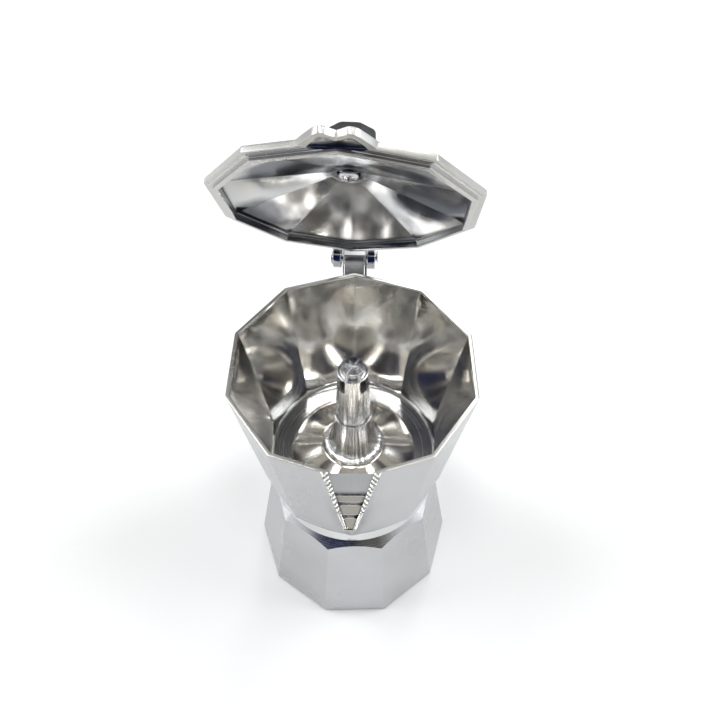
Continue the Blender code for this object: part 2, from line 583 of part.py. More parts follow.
def main():
    clear_scene()
    cast = material("cast_aluminium", (0.80, 0.80, 0.81), 0.28, 1.0)
    polished = material("polished_aluminium", (0.86, 0.86, 0.87), 0.12, 1.0)
    sheet = material("sheet_aluminium", (0.78, 0.78, 0.79), 0.35, 1.0)
    brass = material("brass", (0.78, 0.60, 0.30), 0.30, 1.0)
    steel = material("steel", (0.62, 0.62, 0.63), 0.30, 1.0)
    rubber = material("white_rubber", (0.80, 0.78, 0.72), 0.75, 0.0)
    fibre = material("red_fibre", (0.45, 0.12, 0.08), 0.80, 0.0)
    plastic = material("black_plastic", (0.015, 0.015, 0.016), 0.42, 0.0)
    build_boiler(cast)
    build_valve(brass, fibre, steel)
    build_funnel(sheet, sheet)
    build_seals(rubber, sheet)
    build_collector(cast)
    build_column(polished, polished)
    opened = Matrix.Rotation(-LID_OPEN, 4, HINGE_AXIS).to_euler()
    lid_pivot = pivot("lid_pivot", (0.0, HINGE_Y, HINGE_Z), opened)
    build_lid(cast, lid_pivot)
    build_knob(plastic, brass, steel, lid_pivot)
    build_hinge_pin(steel)
    build_handle(plastic, steel)


main()
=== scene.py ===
import math

import bmesh
import bpy
import numpy as np
from mathutils import Matrix, Vector


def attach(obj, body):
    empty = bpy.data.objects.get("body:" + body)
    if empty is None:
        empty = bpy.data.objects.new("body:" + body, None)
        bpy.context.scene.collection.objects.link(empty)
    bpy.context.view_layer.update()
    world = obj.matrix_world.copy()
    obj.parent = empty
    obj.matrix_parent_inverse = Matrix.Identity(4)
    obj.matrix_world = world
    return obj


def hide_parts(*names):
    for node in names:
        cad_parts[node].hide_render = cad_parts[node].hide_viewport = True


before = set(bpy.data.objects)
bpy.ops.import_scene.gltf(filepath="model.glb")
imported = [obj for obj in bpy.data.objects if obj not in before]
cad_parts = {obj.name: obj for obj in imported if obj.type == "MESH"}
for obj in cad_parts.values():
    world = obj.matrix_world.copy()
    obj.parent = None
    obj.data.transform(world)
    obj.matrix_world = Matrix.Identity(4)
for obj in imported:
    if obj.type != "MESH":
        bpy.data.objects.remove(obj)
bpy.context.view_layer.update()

# All shapes are worked out in millimetres, in the CAD frame, and turned into metres when a mesh is made.
MM = 0.001
TAU = 2 * math.pi
HALF_TURN = math.pi / 10
SLOPE = math.tan(HALF_TURN)
COS = math.cos(HALF_TURN)
GAP = 0.3  # clearance between neighbouring pieces

# Faceted collector
RIM_Z, RIM_CORNER_R = 133.3, 45.0
COLLAR_Z, COLLAR_CORNER_R = 60.5, 35.5
COLLAR_HEIGHTS = (61.0, 69.0, 71.0, 74.0, 76.5, 85.0)
COLLAR_RADII = (34.0, 34.3, 35.2, 37.3, 40.0, 75.0)
BEAK_ROOT_Z, BEAK_REACH, BEAK_HALF_W, BEAK_TIP_W = 66.5, 16.2, 9.7, 1.75
LEDGE_Z, FLOOR_Z, FLOOR_R, DISH_R = 77.5, 75.5, 33.1, 24.8
SEAT_Z, SEAT_R, HOLE_R = 82.0, 12.4, 5.0
BORE_R, CEILING_Z = 31.0, 72.9
INNER_TOP_R, INNER_LOW_R = 45.0 - 1.5 / COS, 33.4 / COS
CHANNEL_HALF_W, CHANNEL_DEPTH = 7.4, 2.5
INNER_FILLET = 0.7
STEP_LENGTH = 1.6
CHANNEL_STEPS = ((-48.2, 0.35), (-51.7, 0.3), (-56.0, 0.35))
CHANNEL_SAND_EDGE = CHANNEL_STEPS[0][0]
CHANNEL_SIDE = 20.9
FILE_PITCH, FILE_DEPTH, FILE_SLANT = 1.42, 0.34, 0.9
CHORD_Y = -INNER_TOP_R + CHANNEL_HALF_W * SLOPE
LIP_START, LIP_DIP = -55.5, 1.0
THREAD_PITCH, THREAD_STEP, RIDGE_HALF = 3.0, 0.3, 0.32

# Boiler
BOILER_TURN = math.radians(19.64)
BASE_R, WAIST_R, WAIST_Z, BASE_EDGE = 45.2, 35.9, 52.6, 2.4
SHOULDER_R, SHOULDER_Z, NECK_R, NECK_Z, MOUTH_R = 30.8, 57.5, 29.6, 67.6, 26.6
VALVE_ANGLE, VALVE_Z = BOILER_TURN + math.radians(108.0), 27.0
VALVE_HOLE_R, VALVE_STUB_R, VALVE_BORE_R, VALVE_CHAMBER_R, VALVE_HEX_R = 4.2, 3.9, 1.5, 2.8, 6.3
BOILER_FLOOR = 3.5

# Hinge and lid
HINGE_Y, HINGE_Z = 53.0, 133.6
HINGE_AXIS = Vector((0.99775, -0.02475, 0.06224)).normalized()
LID_OPEN = math.radians(60.89)
PIN_R, EAR_IN, EAR_OUT, LUG_HALF_W, NOTCH_HALF_W = 1.6, 5.2, 8.3, 4.5, 5.0
LUG_NECK_HALF_W, LUG_R, EAR_R = 4.1, 4.2, 4.4
LID_CEILING, LID_TOP = 12.3, 12.6
HINGE_PLACE = (Matrix.Translation((0.0, HINGE_Y * MM, HINGE_Z * MM))
               @ Vector((1.0, 0.0, 0.0)).rotation_difference(HINGE_AXIS).to_matrix().to_4x4())
LID_PLACE = (Matrix.Translation((0.0, HINGE_Y * MM, HINGE_Z * MM)) @ Matrix.Rotation(-LID_OPEN, 4, HINGE_AXIS)
             @ Matrix.Translation((0.0, -HINGE_Y * MM, (RIM_Z - HINGE_Z) * MM)))

# Handle and its pin
HANDLE_PIN_Y, HANDLE_PIN_Z, HANDLE_PIN_R = 63.5, 120.0, 1.4
HANDLE_HALF_W = 5.0
HANDLE_LINE = ((57.9, 119.5), (84.0, 119.5), (104.0, 126.0), (88.0, 44.0))

# Painted reflections: dark patches painted on the lid's underside, which stand for dark reflections: place
# and size across and along the lid, depth of tone
LID_PAINTED_REFLECTIONS = ((-16.0, -15.0, 15.0, 10.0, 0.96), (28.0, 2.0, 14.0, 15.0, 0.97), (-31.0, 16.0, 9.0, 12.0, 0.75),
              (0.0, -3.0, 9.0, 9.0, 0.85), (4.0, 26.0, 20.0, 17.0, 0.5), (17.0, -14.0, 12.0, 4.5, 0.85))

# Steps round the body: corner, facet, beak bend, beak side, across the beak
ARC, FACET, BEND, LINE, ACROSS = 4, 8, 8, 80, 12


# ---------------------------------------------------------------- meshes

def arc(cx, cy, radius, start, end, count):
    """Points on an arc, from angle start to angle end in degrees."""
    angles = np.radians(np.linspace(start, end, count))
    return [(cx + radius * math.cos(a), cy + radius * math.sin(a)) for a in angles]


def circle(radius, z, angles):
    return [(radius * math.cos(a), radius * math.sin(a), z) for a in angles]


def eased(points, radius, steps=3):
    """The closed outline with every corner that lies off the axis rounded by a short curve."""
    made = []
    count = len(points)
    for k, point in enumerate(points):
        here = np.array(point, float)
        if point[0] == 0.0:
            made.append(here)
            continue
        before = np.array(points[k - 1], float) - here
        after = np.array(points[(k + 1) % count], float) - here
        start = here + before * min(radius / np.linalg.norm(before), 0.45)
        end = here + after * min(radius / np.linalg.norm(after), 0.45)
        for u in np.linspace(0.0, 1.0, steps + 1):
            made.append(start * (1 - u) ** 2 + here * 2 * u * (1 - u) + end * u * u)
    return made


def inset(points, amount):
    """Moves a closed counter-clockwise outline inwards."""
    p = np.array(points, float)
    before, after = p - np.roll(p, 1, 0), np.roll(p, -1, 0) - p
    before /= np.linalg.norm(before, axis=1)[:, None]
    after /= np.linalg.norm(after, axis=1)[:, None]
    side = before + after
    side /= np.linalg.norm(side, axis=1)[:, None]
    return p + np.stack([-side[:, 1], side[:, 0]], 1) * amount


class Shell:
    """Rings of points in millimetres and the faces between them."""

    def __init__(self):
        self.points = []
        self.faces = []
        self.finish = []

    def ring(self, points):
        first = len(self.points)
        self.points.extend(tuple(float(c) for c in p) for p in points)
        return list(range(first, len(self.points)))

    def face(self, corners, finish):
        corners = list(dict.fromkeys(corners))
        if len(corners) > 2:
            self.faces.append(corners)
            self.finish.append(finish)

    def band(self, low, high, finish=0, closed=True):
        count = max(len(low), len(high))
        for k in range(count if closed else count - 1):
            n = (k + 1) % count
            corners = [low[k % len(low)], low[n % len(low)], high[n % len(high)], high[k % len(high)]]
            self.face(corners, finish)

    def cap(self, ring, centre, finish=0):
        """Closes a ring with triangles round a centre point."""
        self.band(ring, self.ring([centre]) * len(ring), finish)

    def stitch(self, low, high, finish=0):
        """Joins two rings about the Z axis that have different numbers of points."""
        def angle(index):
            x, y, _ = self.points[index]
            return math.atan2(y, x) % TAU
        low = sorted(low, key=angle)
        high = sorted(high, key=angle)
        i = j = 0
        while i < len(low) or j < len(high):
            next_low = angle(low[(i + 1) % len(low)]) + (TAU if i + 1 >= len(low) else 0)
            next_high = angle(high[(j + 1) % len(high)]) + (TAU if j + 1 >= len(high) else 0)
            if j >= len(high) or (i < len(low) and next_low <= next_high):
                self.face([low[i % len(low)], low[(i + 1) % len(low)], high[j % len(high)]], finish)
                i += 1
            else:
                self.face([low[i % len(low)], high[(j + 1) % len(high)], high[j % len(high)]], finish)
                j += 1

    def rings(self, rings, finish=0, closed=False):
        """Skins rings one after another. Finish is one number, or one for each gap."""
        made = [self.ring(r) for r in rings]
        pairs = list(zip(made, made[1:])) + ([(made[-1], made[0])] if closed else [])
        for k, (low, high) in enumerate(pairs):
            self.band(low, high, finish if isinstance(finish, int) else finish[k])
        return made

    def build(self, name, looks, place=None):
        points = np.array(self.points) * MM
        if place is not None:
            matrix = np.array(place)
            points = points @ matrix[:3, :3].T + matrix[:3, 3]
        mesh = bpy.data.meshes.new(name)
        mesh.from_pydata(points.tolist(), [], self.faces)
        for look in looks:
            mesh.materials.append(look)
        mesh.polygons.foreach_set("material_index", self.finish)
        bm = bmesh.new()
        bm.from_mesh(mesh)
        bmesh.ops.recalc_face_normals(bm, faces=bm.faces)
        if bm.calc_volume(signed=True) < 0.0:
            bmesh.ops.reverse_faces(bm, faces=bm.faces)
        bm.to_mesh(mesh)
        bm.free()
        made = bpy.data.objects.new(name, mesh)
        bpy.context.scene.collection.objects.link(made)
        return made


def turned(outline, steps, finish=0):
    """Shell of revolution about Z from a closed (radius, height) outline."""
    shell = Shell()
    angles = np.arange(steps) * TAU / steps
    rings = []
    for radius, height in outline:
        if radius == 0.0:
            rings.append([(0.0, 0.0, height)])
        else:
            rings.append(circle(radius, height, angles))
    shell.rings(rings, finish, closed=True)
    return shell


def slab(outline, low, high, edge, finish=0, axis="z"):
    """Extruded counter-clockwise outline with its two edges rounded. On axis x the outline is (y, z)."""
    shell = Shell()
    levels = []
    quarter = (0.0, math.pi / 6, math.pi / 3, math.pi / 2)
    for side, flat in ((low, 1), (high, -1)):
        steps = [(edge * (1 - math.sin(t)), edge * (1 - math.cos(t))) for t in quarter]
        if flat < 0:
            steps = steps[::-1]
        levels += [(side + flat * up, inward) for inward, up in steps]
    rings = []
    for level, inward in levels:
        ring = inset(outline, inward)
        rings.append([(level, y, z) if axis == "x" else (y, z, level) for y, z in ring])
    made = shell.rings(rings, finish)
    for ends in (made[0], made[-1]):
        shell.face(ends, finish)
    return shell


def combine(target, shell, operation, place=None):
    """Adds a shell to an object or cuts it away, and keeps the result as the object's mesh."""
    looks = list(target.data.materials)
    tool = shell.build(target.name + "_tool", looks, place)
    modifier = target.modifiers.new("combine", "BOOLEAN")
    modifier.operation = operation
    modifier.solver = "EXACT"
    modifier.object = tool
    graph = bpy.context.evaluated_depsgraph_get()
    mesh = bpy.data.meshes.new_from_object(target.evaluated_get(graph))
    target.modifiers.clear()
    target.data = mesh
    bpy.data.objects.remove(tool)


def smooth(target, crease=33.0):
    target.data.shade_smooth()
    target.data.set_sharp_from_angle(angle=math.radians(crease))
    weighted = target.modifiers.new("facets", "WEIGHTED_NORMAL")
    weighted.keep_sharp = True
    weighted.weight = 60


def fit(target, body, node, crease=33.0):
    smooth(target, crease)
    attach(target, body)
    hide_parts(node)
    return target


# ---------------------------------------------------------------- looks

class Nodes:
    """Short names for the nodes of one tree."""

    def __init__(self, tree):
        self.tree = tree
        self.place = None

    def new(self, kind, **settings):
        node = self.tree.nodes.new(kind)
        for key, value in settings.items():
            setattr(node, key, value)
        return node

    def put(self, socket, value):
        if isinstance(value, bpy.types.NodeSocket):
            self.tree.links.new(value, socket)
        else:
            socket.default_value = value

    def maths(self, operation, a, b=0.0):
        node = self.new("ShaderNodeMath", operation=operation)
        self.put(node.inputs[0], a)
        self.put(node.inputs[1], b)
        return node.outputs[0]

    def stretched(self, scale, turn=(0.0, 0.0, 0.0), source=None):
        node = self.new("ShaderNodeMapping")
        self.put(node.inputs["Vector"], source or self.place)
        node.inputs["Scale"].default_value = scale
        node.inputs["Rotation"].default_value = turn
        return node.outputs[0]

    def noise(self, scale, detail=3.0, vector=None, rough=0.5):
        node = self.new("ShaderNodeTexNoise")
        self.put(node.inputs["Vector"], vector or self.place)
        node.inputs["Scale"].default_value = scale
        node.inputs["Detail"].default_value = detail
        node.inputs["Roughness"].default_value = rough
        return node.outputs["Fac"]

    def cells(self, scale):
        node = self.new("ShaderNodeTexVoronoi")
        self.put(node.inputs["Vector"], self.place)
        node.inputs["Scale"].default_value = scale
        return node.outputs["Distance"]

    def span(self, value, low, high, to_low=0.0, to_high=1.0, kind="LINEAR"):
        node = self.new("ShaderNodeMapRange", interpolation_type=kind)
        self.put(node.inputs["Value"], value)
        for key, number in (("From Min", low), ("From Max", high), ("To Min", to_low), ("To Max", to_high)):
            node.inputs[key].default_value = number
        return node.outputs["Result"]

    def blend(self, share, a, b):
        node = self.new("ShaderNodeMix", data_type="RGBA")
        self.put(node.inputs["Factor"], share)
        for socket, colour in ((node.inputs[6], a), (node.inputs[7], b)):
            self.put(socket, colour if isinstance(colour, bpy.types.NodeSocket) else (*colour, 1.0))
        return node.outputs[2]

    def ramp(self, value, stops):
        node = self.new("ShaderNodeValToRGB")
        self.put(node.inputs[0], value)
        elements = node.color_ramp.elements
        while len(elements) < len(stops):
            elements.new(0.5)
        for element, (position, colour) in zip(elements, stops):
            element.position = position
            element.color = (*colour, 1.0)
        return node.outputs[0]

    def vector(self, operation, *values):
        node = self.new("ShaderNodeVectorMath", operation=operation)
        for socket, value in zip(node.inputs, values):
            self.put(socket, value)
        return node.outputs["Value" if operation == "LENGTH" else "Vector"]

    def split(self, value):
        node = self.new("ShaderNodeSeparateXYZ")
        self.put(node.inputs[0], value)
        return node.outputs

    def join(self, *values):
        node = self.new("ShaderNodeCombineXYZ")
        for socket, value in zip(node.inputs, values):
            self.put(socket, value)
        return node.outputs[0]


class Look(Nodes):
    """The nodes of one material."""

    def __init__(self, name, metallic):
        self.material = bpy.data.materials.new(name)
        self.material.use_nodes = True
        super().__init__(self.material.node_tree)
        self.shader = self.tree.nodes["Principled BSDF"]
        self.shader.inputs["Metallic"].default_value = metallic
        self.shader.inputs["IOR"].default_value = 1.5
        self.place = self.new("ShaderNodeTexCoord").outputs["Object"]
        self.normal = None

    def bump(self, height, depth_mm):
        node = self.new("ShaderNodeBump")
        node.inputs["Strength"].default_value = 1.0
        node.inputs["Distance"].default_value = depth_mm * MM
        self.put(node.inputs["Height"], height)
        if self.normal is not None:
            self.put(node.inputs["Normal"], self.normal)
        self.normal = node.outputs[0]

    def round_the_axis(self, across, along):
        """A vector that changes with distance from the Z axis and with height, for lathe marks."""
        distance = self.vector("LENGTH", self.vector("MULTIPLY", self.place, (1.0, 1.0, 0.0)))
        height = self.split(self.place)[2]
        return self.join(self.maths("MULTIPLY", distance, across), self.maths("MULTIPLY", height, along))

    def round_the_column(self, round_scale, along):
        """A vector that changes with angle about the Z axis and hardly with height, for lengthwise marks."""
        x, y, z = self.split(self.place)
        unit = self.vector("NORMALIZE", self.join(x, y))
        lift = self.join(0.0, 0.0, self.maths("MULTIPLY", z, along))
        return self.vector("MULTIPLY_ADD", unit, (round_scale, round_scale, 0.0), lift)

    def lid_distance(self, x, y, across, along):
        """How far a point lies from an oval in the lid's own plane: 1 on its outline, with a wavy edge."""
        flat = self.new("ShaderNodeMapping", vector_type="TEXTURE")
        self.put(flat.inputs["Vector"], self.place)
        flat.inputs["Location"].default_value = LID_PLACE @ Vector((x * MM, y * MM, 0.0))
        flat.inputs["Rotation"].default_value = LID_PLACE.to_euler()
        oval = self.vector("MULTIPLY", flat.outputs[0], (1.0 / (across * MM), 1.0 / (along * MM), 0.0))
        waves = self.span(self.noise(60.0, 3.0), 0.3, 0.7, -0.2, 0.2)
        return self.maths("ADD", self.vector("LENGTH", oval), waves)

    def done(self, colour, roughness):
        self.put(self.shader.inputs["Base Color"], colour)
        self.put(self.shader.inputs["Roughness"], roughness)
        if self.normal is not None:
            self.put(self.shader.inputs["Normal"], self.normal)
        return self.material


# Colour of the painted dark reflections on the lid's underside
PAINTED_REFLECTION_TONE = (0.022, 0.026, 0.045)


def shades(colour, low, high):
    return [c * low for c in colour], [min(1.0, c * high) for c in colour]


def metal(name, colour, rough, spread=0.08, wave=0.0, grain=0.003, scratches=0.35, pits=0.0, lathe=0.0,
          streaks=0.0, wave_scale=45.0, painted_reflections=(), crease=0.0):
    look = Look(name, 1.0)
    cloud = look.noise(38.0, 4.0)
    fine = look.noise(2600.0, 2.0)
    tone = look.blend(look.span(cloud, 0.3, 0.7), *shades(colour, 0.90, 1.04))
    roughness = look.span(cloud, 0.3, 0.72, max(0.02, rough - spread), rough + spread)
    if wave:
        look.bump(look.noise(wave_scale, 1.0), wave)
    if streaks:
        around = look.noise(1.0, 3.0, look.round_the_column(14.0, 30.0))
        look.bump(around, streaks)
        tone = look.blend(look.span(around, 0.42, 0.60), tone, shades(colour, 0.55, 1.0)[0])
    if lathe:
        rings = look.noise(1.0, 3.0, look.round_the_axis(2200.0, 2200.0), 0.7)
        look.bump(rings, lathe)
        roughness = look.maths("ADD", roughness, look.span(rings, 0.35, 0.7, -0.04, 0.10))
    first = look.noise(1.0, 2.0, look.stretched((60.0, 2400.0, 90.0), (0.3, 0.5, 0.4)))
    second = look.noise(1.0, 2.0, look.stretched((2100.0, 70.0, 50.0), (0.9, 0.2, 1.1)))
    marks = look.maths("MAXIMUM", look.span(first, 0.64, 0.72), look.span(second, 0.65, 0.73))
    roughness = look.maths("ADD", roughness, look.maths("MULTIPLY", marks, 0.25 * scratches))
    relief = look.maths("MULTIPLY", marks, -scratches)
    look.bump(relief, 0.01)
    if pits:
        dots = look.maths("MULTIPLY", look.span(look.cells(420.0), 0.16, 0.06), look.span(cloud, 0.45, 0.6))
        tone = look.blend(look.maths("MULTIPLY", dots, pits), tone, shades(colour, 0.3, 1.0)[0])
        look.bump(look.maths("MULTIPLY", dots, -1.0), 0.02)
    look.bump(fine, grain)
    # Painted reflections: dark oval patches fixed on the lid's underside, blended into the colour
    for x, y, across, along, depth in painted_reflections:
        painted_reflection_patch = look.maths("MULTIPLY", look.span(look.lid_distance(x, y, across, along), 1.15, 0.75), depth)
        tone = look.blend(painted_reflection_patch, tone, PAINTED_REFLECTION_TONE)
    pointiness = look.new("ShaderNodeNewGeometry").outputs["Pointiness"]
    worn = look.span(pointiness, 0.53, 0.62)
    tone = look.blend(look.maths("MULTIPLY", worn, 0.5), tone, shades(colour, 1.0, 1.15)[1])
    # Painted shade: concave creases and inner corners are darkened in the colour, by the given share
    if crease:
        hollow = look.span(pointiness, 0.49, 0.455)
        tone = look.blend(look.maths("MULTIPLY", hollow, crease), tone, shades(colour, 0.25, 1.0)[0])
    return look.done(tone, roughness)


def matt(name, colour, rough, spread, grain_scale, grain):
    look = Look(name, 0.0)
    cloud = look.noise(70.0, 4.0)
    fine = look.noise(grain_scale, 3.0)
    tone = look.blend(look.span(cloud, 0.3, 0.7), *shades(colour, 0.85, 1.15))
    worn = look.span(look.new("ShaderNodeNewGeometry").outputs["Pointiness"], 0.52, 0.62)
    tone = look.blend(look.maths("MULTIPLY", worn, 0.3), tone, shades(colour, 1.0, 2.2)[1])
    look.bump(fine, grain)
    return look.done(tone, look.span(fine, 0.3, 0.7, rough - spread, rough + spread))


SATIN = metal("aluminium_satin", (0.53, 0.53, 0.54), 0.30, 0.05, wave=0.05, grain=0.0012, scratches=0.0)
MIRROR = metal("aluminium_polished_inside", (0.90, 0.89, 0.865), 0.12, 0.03, wave=0.24, grain=0.001,
               scratches=0.05, pits=0.25, wave_scale=34.0, crease=0.7)
LID_MIRROR = metal("aluminium_polished_lid", (0.66, 0.665, 0.67), 0.14, 0.04, wave=0.07, grain=0.002,
                   scratches=0.1, pits=0.5, wave_scale=30.0, painted_reflections=LID_PAINTED_REFLECTIONS, crease=0.6)
# Near-black finish for the column cap's inside: coffee stain and painted shade
COFFEE_STAIN_AND_SHADE = metal("aluminium_coffee_stain_and_painted_shade", (0.06, 0.05, 0.045), 0.40, 0.08, grain=0.004, scratches=0.1)
RIM = metal("aluminium_rim", (0.55, 0.54, 0.52), 0.30, 0.06, grain=0.006, scratches=0.15, pits=0.3)
SAND = metal("aluminium_sand_cast", (0.40, 0.41, 0.42), 0.55, 0.06, grain=0.02, pits=0.4)
LATHED = metal("aluminium_lathed", (0.74, 0.74, 0.74), 0.20, 0.05, grain=0.002, scratches=0.05, lathe=0.010)
DISH = metal("aluminium_dish", (0.90, 0.87, 0.82), 0.14, 0.05, wave=0.25, grain=0.002,
             scratches=0.1, pits=0.5)
COLUMN = metal("aluminium_column", (0.85, 0.85, 0.85), 0.20, 0.05, grain=0.002,
               scratches=0.1, streaks=0.16, pits=0.3)
SHEET = metal("aluminium_sheet", (0.72, 0.72, 0.73), 0.28, 0.05, grain=0.003)
STEEL = metal("steel_bright", (0.60, 0.60, 0.62), 0.18, 0.05, grain=0.002)
BRASS = metal("brass_turned", (0.78, 0.58, 0.28), 0.24, 0.06, grain=0.002, lathe=0.006)
PLASTIC = matt("plastic_black", (0.006, 0.006, 0.0065), 0.50, 0.06, 900.0, 0.01)
RUBBER = matt("rubber_white", (0.78, 0.75, 0.68), 0.70, 0.08, 1200.0, 0.02)
FIBRE = matt("fibre_red", (0.42, 0.11, 0.07), 0.80, 0.06, 1500.0, 0.03)


# ---------------------------------------------------------------- faceted outlines

def corner_arc(corner_r, angle, fillet):
    reach = corner_r - fillet / COS
    cx, cy = reach * math.cos(angle), reach * math.sin(angle)
    return [(cx + fillet * math.cos(t), cy + fillet * math.sin(t))
            for t in np.linspace(angle - HALF_TURN, angle + HALF_TURN, ARC + 1)]


def between(a, b, count):
    a, b = np.array(a), np.array(b)
    return [tuple(a + (b - a) * k / (count + 1)) for k in range(1, count + 1)]


def decagon(corner_r, fillet, turn=math.pi / 2):
    """Ten-sided outline with rounded corners, one of them at angle turn."""
    corners = [corner_arc(corner_r, turn + k * 2 * HALF_TURN, fillet) for k in range(10)]
    points = []
    for k, corner in enumerate(corners):
        points += corner + between(corner[-1], corners[(k + 1) % 10][0], FACET - 1)
    return points


def body_outline(corner_r, fillet, left_side, middle):
    """Nine corners from the beak's right round to its left, then the beak: left side, middle, right side."""
    corners = [corner_arc(corner_r, math.radians(-54.0 + 36.0 * k), fillet) for k in range(9)]
    points = list(corners[0])
    for before, after in zip(corners, corners[1:]):
        points += between(before[-1], after[0], FACET - 1) + after
    right_side = [(-x, y) for x, y in reversed(left_side)]
    points += between(corners[-1][-1], left_side[0], FACET - 1) + left_side + middle + right_side
    points += between(right_side[-1], corners[0][0], FACET - 1)
    return np.array(points)


def collector_corner_r(z):
    return COLLAR_CORNER_R + (RIM_CORNER_R - COLLAR_CORNER_R) * (z - COLLAR_Z) / (RIM_Z - COLLAR_Z)


def outer_outline(z):
    """Facets and beak: facet, hollow fillet, straight side, nose."""
    share = max(0.0, (z - BEAK_ROOT_Z) / (RIM_Z - BEAK_ROOT_Z))
    corner = collector_corner_r(z)
    half_w = 1.5 + (BEAK_HALF_W - 1.5) * share ** 0.8
    reach = BEAK_REACH * share ** 1.7
    tip = 0.35 + (BEAK_TIP_W - 0.35) * share
    fillet = 0.6 + 20.0 * share * (1.0 - share)
    root = np.array((-half_w, -corner + half_w * SLOPE))
    nose = np.array((-tip, -corner - reach + tip * SLOPE))
    start = root + np.array((-1.0, SLOPE)) * COS * fillet
    end = root + (nose - root) * min(0.7, fillet / np.linalg.norm(nose - root))
    side = [tuple(start * (1 - u) ** 2 + root * 2 * u * (1 - u) + end * u * u)
            for u in np.linspace(0, 1, BEND + 1)]
    side += [tuple(end + (nose - end) * u) for u in np.linspace(0, 1, LINE + 1)[1:]]
    return body_outline(corner, 1.1, side, between(side[-1], (-side[-1][0], side[-1][1]), ACROSS - 1))


def inner_rim_outline():
    """The rim's inner edge: chamber, then the sides of the pouring channel."""
    start, bend, tip = np.array((-CHANNEL_HALF_W, CHORD_Y)), np.array((-2.7, -55.5)), np.array((-0.85, -60.0))
    corner = corner_arc(INNER_TOP_R, math.radians(234.0), INNER_FILLET)[-1]
    facet = between(corner, tuple(start), FACET + BEND - 1)
    side = facet[FACET - 1:] + [tuple(start)]
    for u in np.linspace(0, 1, LINE + 1)[1:]:
        if u < 0.75:
            side.append(tuple(start + (bend - start) * u / 0.75))
        else:
            side.append(tuple(bend + (tip - bend) * (u - 0.75) / 0.25))
    front = between(side[-1], (-side[-1][0], side[-1][1]), ACROSS - 1)
    return body_outline(INNER_TOP_R, INNER_FILLET, side, front)


def soft_max(a, b, width=0.35):
    return 0.5 * (a + b + math.sqrt((a - b) ** 2 + width ** 2))


def chamber_outline(z):
    """The chamber's wall below the channel, with the flat plug that backs the beak."""
    corner = INNER_LOW_R + (INNER_TOP_R - INNER_LOW_R) * (z - LEDGE_Z) / (RIM_Z - LEDGE_Z)

    def wall(x):
        return soft_max(CHORD_Y, -corner + SLOPE * math.sqrt(x * x + 0.3))
    last = corner_arc(corner, math.radians(234.0), INNER_FILLET)[-1]
    end = (-CHANNEL_HALF_W, wall(CHANNEL_HALF_W))
    side = between(last, end, FACET + BEND - 1)[FACET - 1:] + [end]
    xs = np.linspace(-CHANNEL_HALF_W, CHANNEL_HALF_W, ACROSS + 1)[1:-1]
    return body_outline(corner, INNER_FILLET, side, [(x, wall(x)) for x in xs])


def channel_floor(y):
    """Height of the pouring channel's floor: three shallow steps and a dip at the lip."""
    z = RIM_Z - CHANNEL_DEPTH
    for edge, rise in CHANNEL_STEPS:
        z += rise * min(1.0, max(0.0, (edge - y) / STEP_LENGTH + 0.5))
    return z + 0.25 * min(1.0, max(0.0, (CHORD_Y - y) / 15.0))


# ---------------------------------------------------------------- collector

def threads(radius, height, sign, columns, low, high, fade=2.0):
    """Rings of a right-handed thread: a rounded ridge on the radius, one pitch higher after each turn."""
    rings = []
    for z in np.arange(low, high + 0.01, THREAD_STEP):
        ring = []
        for a in columns:
            phase = (z / THREAD_PITCH - a / TAU) % 1.0
            ridge = max(0.0, 1.0 - abs(phase - 0.5) / RIDGE_HALF) ** 0.8
            ridge *= min(1.0, (z - low) / fade, (high - z) / fade)
            r = radius + sign * height * max(0.0, ridge)
            ring.append((r * math.cos(a), r * math.sin(a), z))
        rings.append(ring)
    return rings


def collector_outside(shell):
    """Turned collar, the line where it meets the facets, facets and beak. Returns first and last rings."""
    heights = np.arange(62.0, 80.0, 0.1)
    outlines = [outer_outline(z) for z in heights]
    facets = np.array([np.hypot(points[:, 0], points[:, 1]) for points in outlines])
    envelope = np.interp(heights, COLLAR_HEIGHTS, COLLAR_RADII)[:, None]
    first_clear = np.argmax((envelope > facets) & (heights[:, None] > 69.0), axis=0)
    meet = heights[first_clear] - 0.05
    angles = np.arctan2(outlines[0][:, 1], outlines[0][:, 0])

    def turned_ring(radius, z):
        return np.column_stack([radius * np.cos(angles), radius * np.sin(angles), np.full(len(angles), z)])

    def facet_ring(z):
        """Points of the facets' outline, each at its own height."""
        ring = np.zeros((len(angles), 3))
        for k, height in enumerate(z):
            ring[k] = (*outer_outline(height)[k], height)
        return ring
    rings = [turned_ring(33.5, COLLAR_Z), turned_ring(33.85, COLLAR_Z + 0.15), turned_ring(34.0, 61.0),
             turned_ring(34.1, 64.0), turned_ring(34.2, 66.5)]
    for share in (0.0, 0.25, 0.5, 0.75, 0.9):
        z = 68.4 + (meet - 68.4) * share
        rings.append(turned_ring(np.interp(z, COLLAR_HEIGHTS, COLLAR_RADII), z))
    looks = [1] * len(rings)
    top = BEAK_ROOT_Z + 13.5
    for share in (0.0, 0.15, 0.4, 0.7):
        rings.append(facet_ring(meet + (top - meet) * share))
        looks.append(0)
    for z in np.linspace(top, RIM_Z - 0.8, 22):
        rings.append(np.column_stack([outer_outline(z), np.full(len(angles), z)]))
        looks.append(0)
    made = shell.rings(rings, looks[:len(rings) - 1])
    return made[0], made[-1]


